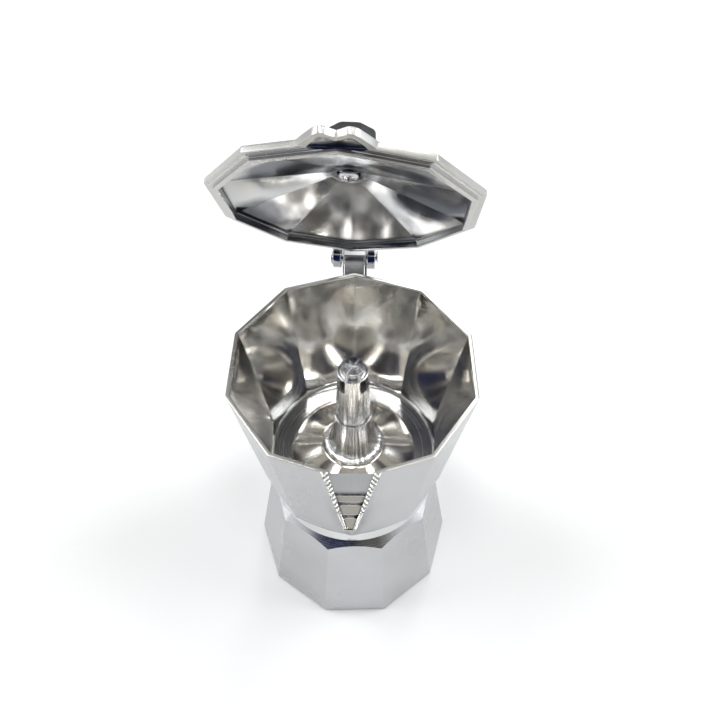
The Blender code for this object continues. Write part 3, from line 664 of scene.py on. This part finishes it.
def rim_band(shell, last):
    """Rounded rim, with file marks and the dipping lip along the beak. Returns its innermost ring."""
    outer, inner = outer_outline(RIM_Z), inner_rim_outline()
    count = len(outer)
    front = count - 2 * (FACET - 1) - 2 * (BEND + 1) - 2 * LINE - (ACROSS - 1)
    start = front + FACET - 1 + BEND + 1
    side = np.zeros(count)
    side[start:start + LINE] = np.arange(1, LINE + 1)
    mirrored = start + LINE + ACROSS - 1
    side[mirrored:mirrored + LINE] = np.arange(LINE, 0, -1)
    length = side * CHANNEL_SIDE / LINE
    dip = LIP_DIP * np.clip((LIP_START - outer[:, 1]) / 5.0, 0.0, 1.0) ** 1.5
    on_side = (side > 3) & (side < LINE * 0.74)
    for share, drop in ((0.0, 0.34), (0.06, 0.12), (0.16, 0.02), (0.32, 0.0), (0.5, 0.02), (0.68, 0.0),
                        (0.86, 0.03), (0.95, 0.14), (1.0, 0.36)):
        phase = ((length + share * FILE_SLANT) / FILE_PITCH) % 1.0
        notch = on_side * np.clip(1.0 - np.abs(phase - 0.5) / 0.30, 0.0, 1.0) * FILE_DEPTH
        xy = outer + (inner - outer) * share
        ring = shell.ring(np.column_stack([xy, RIM_Z - drop - dip - notch]))
        shell.band(last, ring, 2)
        last = ring
    return last, start, mirrored


def pouring_channel(shell, last, start, mirrored):
    """Channel walls and floor. Returns the ring round the chamber just below the channel."""
    inner = inner_rim_outline()
    heights = np.full(len(inner), RIM_Z - CHANNEL_DEPTH)
    front = np.arange(start - 1, mirrored + LINE + 1)
    for k in front:
        heights[k] = channel_floor(inner[k, 1]) + 0.12
    top = np.array([shell.points[k][2] for k in last])
    middle = shell.ring(np.column_stack([inner, top + (heights - top) * 0.45]))
    shell.band(last, middle, 3)
    below = chamber_outline(RIM_Z - CHANNEL_DEPTH)
    xy = inner.copy()
    xy[:start] = below[:start]
    tail = len(inner) - (mirrored + LINE)
    xy[-tail:] = below[-tail:]
    edge = shell.ring(np.column_stack([xy, heights]))
    shell.band(middle, edge, 3)
    rows = []
    for step in range(LINE + 1):
        left, right = edge[start - 1 + step], edge[mirrored + LINE - step]
        if step == LINE:
            inside = edge[start + LINE:mirrored]
        else:
            x0, y0 = xy[start - 1 + step]
            points = []
            row_y = CHORD_Y if step == 0 else y0
            for x in np.linspace(x0, -x0, ACROSS + 1)[1:-1]:
                points.append((x, row_y, channel_floor(y0) + 0.12 * (x / x0) ** 4))
            inside = shell.ring(points)
        rows.append([left] + inside + [right])
    for near, far in zip(rows, rows[1:]):
        y = shell.points[far[0]][1]
        shell.band(near, far, 4 if y > CHANNEL_SAND_EDGE else 3, closed=False)
    return edge[:start] + rows[0][1:-1] + edge[mirrored + LINE:]


def hinge_rod(half):
    """Cutter for the hinge pin's hole, on the leaning axis of HINGE_PLACE."""
    return slab(arc(0.0, 0.0, PIN_R + GAP, 0.0, 345.0, 24), -half, half, 0.05, 1, "x")


def handle_pin_hole(half, finish):
    """Cutter for the handle pin's hole in the tang and in the handle."""
    outline = arc(HANDLE_PIN_Y, HANDLE_PIN_Z, HANDLE_PIN_R + GAP, 0.0, 345.0, 24)
    return slab(outline, -half, half, 0.05, finish, "x")


def build_collector():
    shell = Shell()
    first, last = collector_outside(shell)
    inner, start, mirrored = rim_band(shell, last)
    ring = pouring_channel(shell, inner, start, mirrored)
    for z in np.linspace(RIM_Z - CHANNEL_DEPTH, LEDGE_Z + 0.5, 22)[1:]:
        lower = shell.ring(np.column_stack([chamber_outline(z), np.full(len(ring), z)]))
        shell.band(ring, lower, 3)
        ring = lower
    corner = chamber_outline(LEDGE_Z)
    angles = np.arctan2(corner[:, 1], corner[:, 0])
    lower = shell.ring(np.column_stack([corner * 0.997, np.full(len(ring), LEDGE_Z + 0.08)]))
    shell.band(ring, lower, 3)
    ring = lower
    floor = [(33.22, LEDGE_Z, 3), (33.12, LEDGE_Z - 0.12, 3), (33.1, LEDGE_Z - 0.5, 3),
             (FLOOR_R, FLOOR_Z + 0.5, 3), (32.95, FLOOR_Z + 0.15, 1), (32.6, FLOOR_Z, 1),
             (29.0, FLOOR_Z, 1), (25.5, FLOOR_Z, 1), (25.1, FLOOR_Z - 0.1, 5), (DISH_R, FLOOR_Z - 0.35, 5)]
    floor += [(DISH_R - (DISH_R - SEAT_R) * u, FLOOR_Z - 0.4 + (SEAT_Z - FLOOR_Z + 0.4) * (u ** 1.15), 5)
              for u in (0.1, 0.25, 0.4, 0.55, 0.7, 0.85, 0.97)]
    floor += [(12.2, SEAT_Z, 5), (9.0, SEAT_Z, 5), (5.2, SEAT_Z, 1), (HOLE_R, SEAT_Z - 0.2, 1),
              (HOLE_R, SEAT_Z - 2.2, 1), (5.2, SEAT_Z - 2.4, 1), (11.2, SEAT_Z - 2.4, 1),
              (11.8, SEAT_Z - 2.6, 1), (24.0, CEILING_Z + 0.2, 1), (24.6, CEILING_Z, 1),
              (30.7, CEILING_Z, 1), (BORE_R, CEILING_Z - 0.3, 1)]
    for radius, z, look in floor:
        lower = shell.ring(circle(radius, z, angles))
        shell.band(ring, lower, look)
        ring = lower
    for points in reversed(threads(BORE_R, 0.35, -1.0, angles, COLLAR_Z + 0.6, CEILING_Z - 0.7)):
        lower = shell.ring(points)
        shell.band(ring, lower, 1)
        ring = lower
    lower = shell.ring(circle(31.5, COLLAR_Z, angles))
    shell.band(ring, lower, 1)
    shell.stitch(lower, first, 1)
    body = shell.build("collector_cast", [SATIN, LATHED, RIM, MIRROR, SAND, DISH])

    neck = [(44.2, RIM_Z - 0.7)] + arc(HINGE_Y, HINGE_Z, LUG_R, 170.0, 0.0, 15)
    neck += [(HINGE_Y + LUG_R, RIM_Z - 21), (HINGE_Y + 3.6, RIM_Z - 22.4), (41.2, RIM_Z - 24)]
    neck = slab(neck[::-1], -LUG_NECK_HALF_W, LUG_NECK_HALF_W, 0.5, 0, "x")
    combine(body, neck, "UNION")
    block = [(49.6, RIM_Z - 1.6), (57.25, RIM_Z - 1.6), (57.25, RIM_Z + 4.55), (49.6, RIM_Z + 4.55)]
    combine(body, slab(eased(block, 0.7), -LUG_HALF_W, LUG_HALF_W, 0.5, 0, "x"), "UNION")
    tang = [(56.0, 112.5), (67.0, 113.5), (68.0, 124.5), (56.0, 126.0)]
    combine(body, slab(eased(tang, 1.4), -2.0, 2.0, 0.3, 0, "x"), "UNION")
    combine(body, hinge_rod(8.0), "DIFFERENCE", HINGE_PLACE)
    combine(body, handle_pin_hole(4.0, 1), "DIFFERENCE")
    return fit(body, "collector", "collector", 30.0)


# ---------------------------------------------------------------- boiler and valve

def boiler_corner_r(z):
    return BASE_R + (WAIST_R - BASE_R) * z / WAIST_Z


def build_boiler():
    turn = math.pi / 2 + BOILER_TURN

    def outline(z, inward=0.0):
        return np.array(decagon(boiler_corner_r(z) - inward / COS, 1.1, turn))
    base = outline(0.0)
    angles = np.arctan2(base[:, 1], base[:, 0])
    meet = []
    top = outline(WAIST_Z)
    for a, b in zip(base, top):
        low, high = 45.0, SHOULDER_Z - 0.5
        for _ in range(30):
            middle = (low + high) / 2
            facet = np.linalg.norm(a + (b - a) * middle / WAIST_Z)
            low, high = (middle, high) if facet < SHOULDER_R + SHOULDER_Z - middle else (low, middle)
        meet.append(low)
    meet = np.array(meet)
    shell = Shell()

    def level(xy, z):
        return np.column_stack([xy, np.full(len(xy), z) if np.isscalar(z) else z])
    rings = [circle(radius, 0.0, angles) for radius in (8.0, 20.0, 32.0, 39.0)]
    looks = [1, 1, 1, 1]
    for t in np.linspace(0.0, math.pi / 2, 7):
        z = BASE_EDGE * (1 - math.cos(t))
        rings.append(level(outline(z, BASE_EDGE * (1 - math.sin(t))), z))
        looks.append(0)
    for share in np.linspace(0.05, 1.0, 16):
        z = BASE_EDGE + (meet - BASE_EDGE) * share
        rings.append(level(base + (top - base) * (z / WAIST_Z)[:, None], z))
        looks.append(0)
    looks[-1] = 1
    for share in (0.06, 0.35, 0.7):
        z = meet + (SHOULDER_Z - 0.2 - meet) * share
        radius = SHOULDER_R + SHOULDER_Z - z
        rings.append(np.column_stack([radius * np.cos(angles), radius * np.sin(angles), z]))
        looks.append(1)
    for radius, z in ((SHOULDER_R + 0.1, SHOULDER_Z - 0.15), (SHOULDER_R - 0.2, SHOULDER_Z),
                      (NECK_R + 0.2, SHOULDER_Z), (NECK_R, SHOULDER_Z + 0.2)):
        rings.append(circle(radius, z, angles))
        looks.append(1)
    crest = threads(NECK_R - 0.25, 0.9, 1.0, angles, SHOULDER_Z + 0.6, NECK_Z - 0.6, 1.2)
    rings += crest
    looks += [1] * len(crest)
    inside = [(NECK_R - 0.6, NECK_Z), (MOUTH_R + 0.3, NECK_Z), (MOUTH_R, NECK_Z - 0.3), (MOUTH_R, 53.3),
              (26.9, 52.6), (28.5, 51.0), (32.4, 44.6), (32.8, 43.5), (38.9, 6.4), (38.8, 5.2), (38.2, 4.2),
              (37.3, BOILER_FLOOR), (20.0, BOILER_FLOOR), (6.0, BOILER_FLOOR)]
    for radius, z in inside:
        rings.append(circle(radius, z, angles))
        looks.append(1 if z > 50 else 2)
    made = shell.rings(rings, looks[:len(rings) - 1])
    shell.cap(made[0], (0.0, 0.0, 0.0), 1)
    shell.cap(made[-1], (0.0, 0.0, BOILER_FLOOR), 2)
    body = shell.build("boiler_cast", [SATIN, LATHED, SAND])
    hole = turned([(0.0, -8.0), (VALVE_HOLE_R, -8.0), (VALVE_HOLE_R, 4.0), (0.0, 4.0)], 48, 1)
    combine(body, hole, "DIFFERENCE", valve_place())
    return fit(body, "boiler", "boiler", 30.0)


def valve_place():
    """Frame on the boiler's facet: +Z is the valve's outward axis, in metres."""
    lean = math.atan((BASE_R - WAIST_R) * COS / WAIST_Z)
    apothem = boiler_corner_r(VALVE_Z) * COS
    place = Vector((apothem * math.cos(VALVE_ANGLE), apothem * math.sin(VALVE_ANGLE), VALVE_Z)) * MM
    turn = Matrix.Rotation(VALVE_ANGLE, 4, "Z") @ Matrix.Rotation(math.pi / 2 - lean, 4, "Y")
    return Matrix.Translation(place) @ turn


def tube(inner, outer, low, high, edge):
    return turned(eased([(inner, low), (outer, low), (outer, high), (inner, high)], edge), 64)


def build_valve():
    place = valve_place()
    body = tube(VALVE_BORE_R, VALVE_STUB_R, -5.5, 2.4, 0.2).build("valve_body_brass", [BRASS], place)
    hexagon = [(VALVE_HEX_R * math.cos(a), VALVE_HEX_R * math.sin(a)) for a in np.arange(6) * TAU / 6]
    combine(body, slab(eased(hexagon, 0.5), 1.4, 7.5, 0.45), "UNION", place)
    chamber = [(0.0, -3.0), (VALVE_CHAMBER_R, -3.0), (VALVE_CHAMBER_R, 8.5), (0.0, 8.5)]
    combine(body, turned(chamber, 64), "DIFFERENCE", place)
    fit(body, "boiler", "valve_body")
    washer = tube(4.3, 6.0, GAP, 1.1, 0.15).build("valve_washer_fibre", [FIBRE], place)
    fit(washer, "boiler", "valve_washer")
    retainer = tube(1.2, 2.5, 5.7, 7.2, 0.2).build("valve_retainer_steel", [STEEL], place)
    fit(retainer, "boiler", "valve_retainer")
    outline = [(0.0, -2.7), (1.2, -2.7), (2.4, -2.2), (2.4, -1.5), (0.9, -1.5), (0.9, 8.2), (0.6, 8.6),
               (0.0, 8.6)]
    plunger = turned(eased(outline, 0.2), 48).build("valve_plunger_steel", [STEEL], place)
    fit(plunger, "plunger", "valve_plunger")
    shell = Shell()
    rings = []
    for u in np.linspace(0.0, 1.0, 181):
        a = TAU * 5 * u
        out = np.array((math.cos(a), math.sin(a), 0.0))
        centre = out * 1.85 + np.array((0.0, 0.0, -0.9 + 5.2 * u))
        rings.append([centre + out * 0.3 * math.cos(t) + np.array((0, 0, 0.3 * math.sin(t)))
                      for t in np.arange(10) * TAU / 10])
    made = shell.rings(rings)
    for ends in (made[0], made[-1]):
        shell.face(ends, 0)
    fit(shell.build("valve_spring_steel", [STEEL], place), "plunger", "valve_spring")


# ---------------------------------------------------------------- funnel and seals

def holes(pitch, rows, radius, low, high):
    """Hexagonal field of round holes about the Z axis."""
    shell = Shell()
    for row in range(-rows, rows + 1):
        for column in range(-rows, rows + 1):
            if abs(row + column) > rows:
                continue
            x, y = pitch * (column + row / 2), pitch * row * math.sqrt(3) / 2
            ends = [shell.ring([(x + radius * math.cos(a), y + radius * math.sin(a), z)
                                for a in np.arange(12) * TAU / 12]) for z in (low, high)]
            shell.band(*ends)
            for ring in ends:
                shell.face(ring, 0)
    return shell


def build_inside():
    top, flange = 68.8, 67.9
    outline = [(29.2, top), (29.2, flange), (26.0, flange), (26.0, 49.6), (25.2, 48.2), (5.4, 37.5),
               (4.6, 35.7), (4.6, 9.0), (3.8, 9.0), (3.8, 36.5), (4.6, 38.3), (24.2, 49.1), (25.2, 50.0),
               (25.2, top - 0.6), (25.8, top)]
    fit(turned(eased(outline, 0.3), 96).build("funnel_sheet", [SHEET]), "boiler", "funnel")
    for name, node, body, radius, low, high, hole in (
            ("funnel_plate_sheet", "funnel_plate", "boiler", 24.5, 50.4, 51.0, 0.8),
            ("filter_plate_sheet", "filter_plate", "seal", 30.2, 71.9, 72.4, 0.7)):
        disc = turned(eased([(0.0, low), (radius, low), (radius, high), (0.0, high)], 0.15), 96)
        plate = disc.build(name, [SHEET])
        combine(plate, holes(2.8, 6, hole, low - 1, high + 1), "DIFFERENCE")
        fit(plate, body, node)
    ring = eased([(24.6, 69.1), (30.5, 69.1), (30.5, 71.6), (24.6, 71.6)], 0.4)
    fit(turned(ring, 96).build("gasket_rubber", [RUBBER]), "seal", "gasket")


# ---------------------------------------------------------------- column

def build_column():
    bore, base, step = 3.4, SEAT_Z + GAP, 103.2
    outline = [(bore, SEAT_Z - 3.4), (4.7, SEAT_Z - 3.4), (4.7, base)]
    outline += arc(10.9, base + 0.75, 0.75, -80.0, 80.0, 9)
    outline += [(10.3, base + 1.55), (9.7, base + 1.9), (9.3, base + 2.6), (9.18, base + 3.4)]
    outline += [(9.18 + (7.15 - 9.18) * u, base + 3.4 + (step - 0.2 - base - 3.4) * u)
                for u in (0.25, 0.5, 0.75, 1.0)]
    outline += [(6.95, step), (5.0, step), (4.9, step + 0.1), (4.5, 118.0), (bore, 118.0)]
    column = turned(outline, 96).build("riser_column_polished", [COLUMN])
    fit(column, "collector", "riser_column")
    cap_z, top = 129.7, RIM_Z - 1.0
    sleeve = [(5.3, step + GAP), (6.6, step + GAP), (6.75, step + GAP + 0.2), (5.85, 122.0),
              (5.5, cap_z - 0.3), (5.25, cap_z), (4.5, cap_z), (4.3, cap_z + 0.2), (4.3, top - 0.5),
              (4.1, top - 0.15), (3.6, top), (0.0, top), (0.0, cap_z - 0.2), (4.3, cap_z - 0.2),
              (4.6, 122.0), (4.9, 118.4)]
    cap = turned(sleeve, 96).build("column_cap_polished", [COLUMN, COFFEE_STAIN_AND_SHADE])
    # Faces inside the cap and facing down take the near-black finish: coffee stain with painted shade that
    # darkens the cap's inside and its window openings
    for face in cap.data.polygons:
        x, y, _ = face.center
        outward = face.normal.x * x + face.normal.y * y
        if outward < -0.3 * math.hypot(x, y) or face.normal.z < -0.8:
            face.material_index = 1
    for side in (-1, 1):
        edge = [(side * 2.65, -9.0), (side * 9.0, -9.0), (side * 9.0, 9.0), (side * 2.65, 9.0)]
        cutter = slab(eased(edge[::side], 0.3), 122.3, cap_z - 0.5, 0.2)
        combine(cap, cutter, "DIFFERENCE")
    fit(cap, "collector", "column_cap")


# ---------------------------------------------------------------- lid, knob and hinge

def build_lid():
    profile = [(4.0, LID_CEILING, 2), (4.0, 11.5, 2), (4.6, 11.2, 2), (5.6, 11.15, 2), (6.2, 11.2, 2),
               (20.0, 7.35, 2), (30.0, 4.55, 2), (39.3, 1.9, 2), (39.9, 1.55, 2), (40.1, 1.0, 2),
               (40.1, -0.7, 2), (40.3, -0.9, 1), (41.6, -0.9, 1), (41.8, -0.7, 2), (41.8, 0.05, 2),
               (41.9, 0.12, 1), (43.0, 0.12, 1), (43.1, 0.3, 2), (43.2, 0.42, 1), (44.25, 0.42, 1),
               (44.5, 0.6, 1), (44.55, 0.8, 1), (44.55, 2.1, 1), (44.45, 2.4, 1), (44.1, 2.6, 0),
               (43.6, 2.75, 0), (30.0, 6.35, 0), (18.0, 9.45, 0), (6.4, 12.5, 0), (5.8, LID_TOP, 0),
               (4.0, LID_TOP, 0)]
    shell = Shell()
    rings = []
    for radius, z, _ in profile:
        fillet = min(0.9, radius * 0.06)
        rings.append([(x, y, z) for x, y in decagon(radius, fillet)])
    made = shell.rings(rings, [look for _, _, look in profile[:-1]])
    shell.cap(made[0], (0.0, 0.0, LID_CEILING), 2)
    shell.cap(made[-1], (0.0, 0.0, LID_TOP), 0)
    lid = shell.build("lid_cast", [SATIN, RIM, LID_MIRROR], LID_PLACE)
    nose = [(11.6, -39.5), (0.0, -41.6), (-11.6, -39.5), (-9.6, -42.6), (-5.6, -47.9), (-3.4, -48.7),
            (-1.6, -47.4), (0.0, -46.3), (1.6, -47.4), (3.4, -48.7), (5.6, -47.9), (9.6, -42.6)]
    combine(lid, slab(eased(nose[::-1], 1.2, 4)[::-1], 0.5, 2.85, 0.3, 1), "UNION", LID_PLACE)
    field = [(8.4, -40.6), (-8.4, -40.6), (-4.6, -46.6), (-3.3, -46.9), (0.0, -44.8), (3.3, -46.9),
             (4.6, -46.6)]
    combine(lid, slab(eased(field[::-1], 0.8, 4)[::-1], 0.0, 0.85, 0.1, 2), "DIFFERENCE", LID_PLACE)
    notch = [(-NOTCH_HALF_W, 50.0), (-NOTCH_HALF_W, 43.6), (-3.4, 42.4), (0.0, 41.95), (3.4, 42.4),
             (NOTCH_HALF_W, 43.6), (NOTCH_HALF_W, 50.0)]
    combine(lid, slab(eased(notch, 0.6), -3.0, 6.0, 0.05, 1), "DIFFERENCE", LID_PLACE)
    ear = [(40.6, 0.45)] + arc(HINGE_Y, GAP, EAR_R, 182.0, 450.0, 31)
    ear += [(HINGE_Y - 2.5, 4.1), (45.2, 3.4), (40.6, 3.0)]
    for low, high in ((-EAR_OUT, -EAR_IN), (EAR_IN, EAR_OUT)):
        combine(lid, slab(ear, low, high, 0.35, 2, "x"), "UNION", LID_PLACE)
    combine(lid, hinge_rod(12.0), "DIFFERENCE", HINGE_PLACE)
    hole = turned([(0.0, 8.0), (2.3, 8.0), (2.3, 15.0), (0.0, 15.0)], 48, 1)
    combine(lid, hole, "DIFFERENCE", LID_PLACE)
    fit(lid, "lid", "lid", 24.0)


def build_knob():
    washer = LID_TOP + GAP
    base = washer + 0.8 + GAP
    sections = ((0.0, 10.6), (0.25, 11.2), (0.7, 11.6), (1.6, 12.5), (3.4, 13.9), (5.2, 15.2),
                (6.6, 15.75), (7.6, 15.9), (10.5, 15.9), (11.0, 15.7), (11.4, 15.1), (11.65, 14.4),
                (11.8, 13.4))
    shell = Shell()
    rings = []
    for height, across in sections:
        corner = across / 2 / math.cos(math.pi / 8)
        points = [(corner * math.cos(a), corner * math.sin(a)) for a in math.pi / 8 + np.arange(8) * TAU / 8]
        rings.append([(x, y, base + height) for x, y in eased(points, 1.0, 5)])
    made = shell.rings(rings)
    for ring in (made[0], made[-1]):
        shell.cap(ring, (0.0, 0.0, shell.points[ring[0]][2]))
    knob = shell.build("knob_plastic", [PLASTIC], LID_PLACE)
    socket = turned([(0.0, base - 1), (3.6, base - 1), (3.6, base + 7.2), (0.0, base + 7.2)], 48)
    combine(knob, socket, "DIFFERENCE", LID_PLACE)
    fit(knob, "lid", "knob", 30.0)
    insert = tube(2.2, 3.3, base + 0.1, base + 6.8, 0.2).build("knob_insert_brass", [BRASS], LID_PLACE)
    fit(insert, "lid", "knob_insert")
    ring = tube(2.3, 5.0, washer, washer + 0.8, 0.2).build("knob_washer_steel", [STEEL], LID_PLACE)
    fit(ring, "lid", "knob_washer")
    top = 11.4 - GAP
    outline = [(0.0, top - 1.5), (1.6, top - 1.42), (2.7, top - 1.05), (3.2, top - 0.6),
               (3.35, top - 0.2), (3.35, top), (1.9, top), (1.9, base + 6.0), (1.7, base + 6.2),
               (0.0, base + 6.2)]
    screw = turned(eased(outline, 0.1), 64).build("knob_screw_steel", [STEEL], LID_PLACE)
    for half_x, half_y, deep in ((1.9, 0.38, 0.55), (0.38, 1.9, 0.58)):
        bar = [(half_x, half_y), (-half_x, half_y), (-half_x, -half_y), (half_x, -half_y)]
        combine(screw, slab(eased(bar, 0.1), top - 2.5, top - deep, 0.02), "DIFFERENCE", LID_PLACE)
    fit(screw, "lid", "knob_screw")


def build_hinge_pin():
    end, start = 9.3, 8.8
    outline = [(0.0, -end), (1.9, -end), (2.35, -end + 0.1), (2.5, -end + 0.25), (2.45, -start - 0.03),
               (PIN_R, -start), (PIN_R, start), (2.45, start + 0.03), (2.5, end - 0.25), (2.35, end - 0.1),
               (1.9, end), (0.0, end)]
    place = HINGE_PLACE @ Matrix.Rotation(math.pi / 2, 4, "Y")
    pin = turned(outline, 40).build("hinge_pin_steel", [STEEL], place)
    fit(pin, "collector", "hinge_pin")


# ---------------------------------------------------------------- handle

def build_handle():
    line = [np.array(p) for p in HANDLE_LINE]

    def point(u):
        a, b, c, d = line
        return a * (1 - u) ** 3 + b * 3 * u * (1 - u) ** 2 + c * 3 * u * u * (1 - u) + d * u ** 3
    shell = Shell()
    rings = []
    for u in np.concatenate([[0.0, 0.004, 0.012], np.linspace(0.03, 0.97, 44), [0.982, 0.991, 0.997, 1.0]]):
        along = point(min(1.0, u + 0.01)) - point(max(0.0, u - 0.01))
        along /= np.linalg.norm(along)
        across = np.array((-along[1], along[0]))
        half_h = 8.6 - 3.6 * math.sin(math.pi * min(1.0, u * 2.2)) * 0.6 - 1.4 * u
        end = min(1.0, 0.72 + 0.28 * math.sqrt(max(0.0, 1.0 - u) * 8.0))
        start = min(1.0, 0.95 + 0.05 * math.sqrt(u / 0.012))
        half_h *= end * start
        half_w = HANDLE_HALF_W * end * start
        radius = min(half_h, half_w) * 0.6
        ring = []
        for sx, sh, first in ((1, 1, 0), (-1, 1, 90), (-1, -1, 180), (1, -1, 270)):
            for a, b in arc(sx * (half_w - radius), sh * (half_h - radius), radius, first, first + 90, 7):
                y, z = point(u) + across * b
                ring.append((a, y, z))
        rings.append(ring)
    made = shell.rings(rings)
    for ring in (made[0], made[-1]):
        shell.cap(ring, np.mean([shell.points[k] for k in ring], 0))
    handle = shell.build("handle_plastic", [PLASTIC])
    slot = [(50.0, 100.0), (69.5, 100.0), (69.5, 140.0), (50.0, 140.0)]
    combine(handle, slab(slot, -2.3, 2.3, 0.05, 0, "x"), "DIFFERENCE")
    combine(handle, handle_pin_hole(9.0, 0), "DIFFERENCE")
    fit(handle, "collector", "handle", 40.0)
    outline = arc(HANDLE_PIN_Y, HANDLE_PIN_Z, HANDLE_PIN_R, 0.0, 348.75, 32)
    pin = slab(outline, -4.9, 4.9, 0.25, 0, "x").build("handle_pin_steel", [STEEL])
    fit(pin, "collector", "handle_pin")


# ---------------------------------------------------------------- studio

def build_floor():
    bm = bmesh.new()
    bmesh.ops.create_grid(bm, x_segments=4, y_segments=4, size=4.0)
    mesh = bpy.data.meshes.new("floor")
    bm.to_mesh(mesh)
    bm.free()
    floor = bpy.data.objects.new("floor", mesh)
    bpy.context.scene.collection.objects.link(floor)
    look = Look("floor_paper", 0.0)
    paper = look.noise(600.0, 3.0)
    floor.data.materials.append(look.done(look.blend(paper, (0.86, 0.86, 0.86), (0.88, 0.88, 0.88)), 0.9))


def area_light(name, place, aim, width, height, power, colour=(1.0, 1.0, 1.0)):
    data = bpy.data.lights.new(name, "AREA")
    data.shape = "RECTANGLE"
    data.size, data.size_y = width, height
    data.energy = power
    data.color = colour
    light = bpy.data.objects.new(name, data)
    light.location = place
    light.rotation_euler = (Vector(aim) - Vector(place)).to_track_quat("-Z", "Y").to_euler()
    bpy.context.scene.collection.objects.link(light)


# Surroundings: share of the way from the ground to overhead, and colour
WALLS = ((0.0, (0.80, 0.83, 0.86)), (0.25, (0.62, 0.65, 0.68)), (0.45, (0.34, 0.33, 0.32)),
         (0.62, (0.24, 0.235, 0.23)), (0.8, (0.36, 0.35, 0.32)), (1.0, (0.50, 0.48, 0.45)))
# Dark part of the surroundings, in front of the pot: share from left to right, and colour
CLOTH = ((0.42, (0.008, 0.014, 0.06)), (0.54, (0.012, 0.012, 0.016)), (0.66, (0.10, 0.095, 0.09)))

# Ceiling lamps: place in metres, size, power
CEILING_LAMPS = ((-0.55, 0.35, 0.30, 4.0), (0.25, 1.20, 0.34, 5.5), (0.6, 0.3, 0.30, 4.0),
                 (-0.15, -0.25, 0.26, 3.4), (0.35, -0.5, 0.22, 2.6))


def build_studio():
    """A pale room that is dim overhead and dark in front, with ceiling lamps and two pale sides."""
    world = bpy.data.worlds.new("studio")
    bpy.context.scene.world = world
    world.use_nodes = True
    nodes = Nodes(world.node_tree)
    x, y, z = nodes.split(nodes.new("ShaderNodeTexCoord").outputs["Generated"])
    walls = nodes.ramp(z, WALLS)
    aside = nodes.maths("MULTIPLY", nodes.maths("ABSOLUTE", nodes.maths("ADD", x, 0.06)), 0.75)
    facing = nodes.maths("SUBTRACT", nodes.maths("MULTIPLY", y, -1.0), aside)
    cloth = nodes.ramp(nodes.maths("ADD", x, 0.5), CLOTH)
    share = nodes.span(facing, 0.0, 0.45, kind="SMOOTHSTEP")
    background = world.node_tree.nodes["Background"]
    nodes.put(background.inputs["Color"], nodes.blend(share, walls, cloth))
    background.inputs["Strength"].default_value = 1.0
    for index, (x, y, size, power) in enumerate(CEILING_LAMPS):
        area_light("ceiling_lamp_%d" % index, (x, y, 1.5), (x, y, 0.0), size, size, power)
    area_light("left_light", (-1.3, 0.1, 0.8), (0.0, 0.0, 0.1), 0.9, 0.9, 11.0, (0.93, 0.97, 1.0))
    area_light("right_light", (1.3, 0.1, 0.8), (0.0, 0.0, 0.1), 0.9, 0.9, 11.0, (0.93, 0.97, 1.0))


def build_camera():
    data = bpy.data.cameras.new("camera")
    data.lens, data.sensor_width = 33.6, 36.0
    data.clip_start, data.clip_end = 0.01, 20.0
    camera = bpy.data.objects.new("camera", data)
    turn = Matrix.Rotation(math.radians(37.57), 4, "X") @ Matrix.Rotation(math.radians(0.52), 4, "Z")
    camera.matrix_world = Matrix.Translation((0.0025, -0.1413, 0.3196)) @ turn
    bpy.context.scene.collection.objects.link(camera)
    bpy.context.scene.camera = camera


build_camera()
build_studio()
build_floor()
build_collector()
build_boiler()
build_valve()
build_inside()
build_column()
build_lid()
build_knob()
build_hinge_pin()
build_handle()
bpy.context.scene.view_settings.view_transform = "Standard"
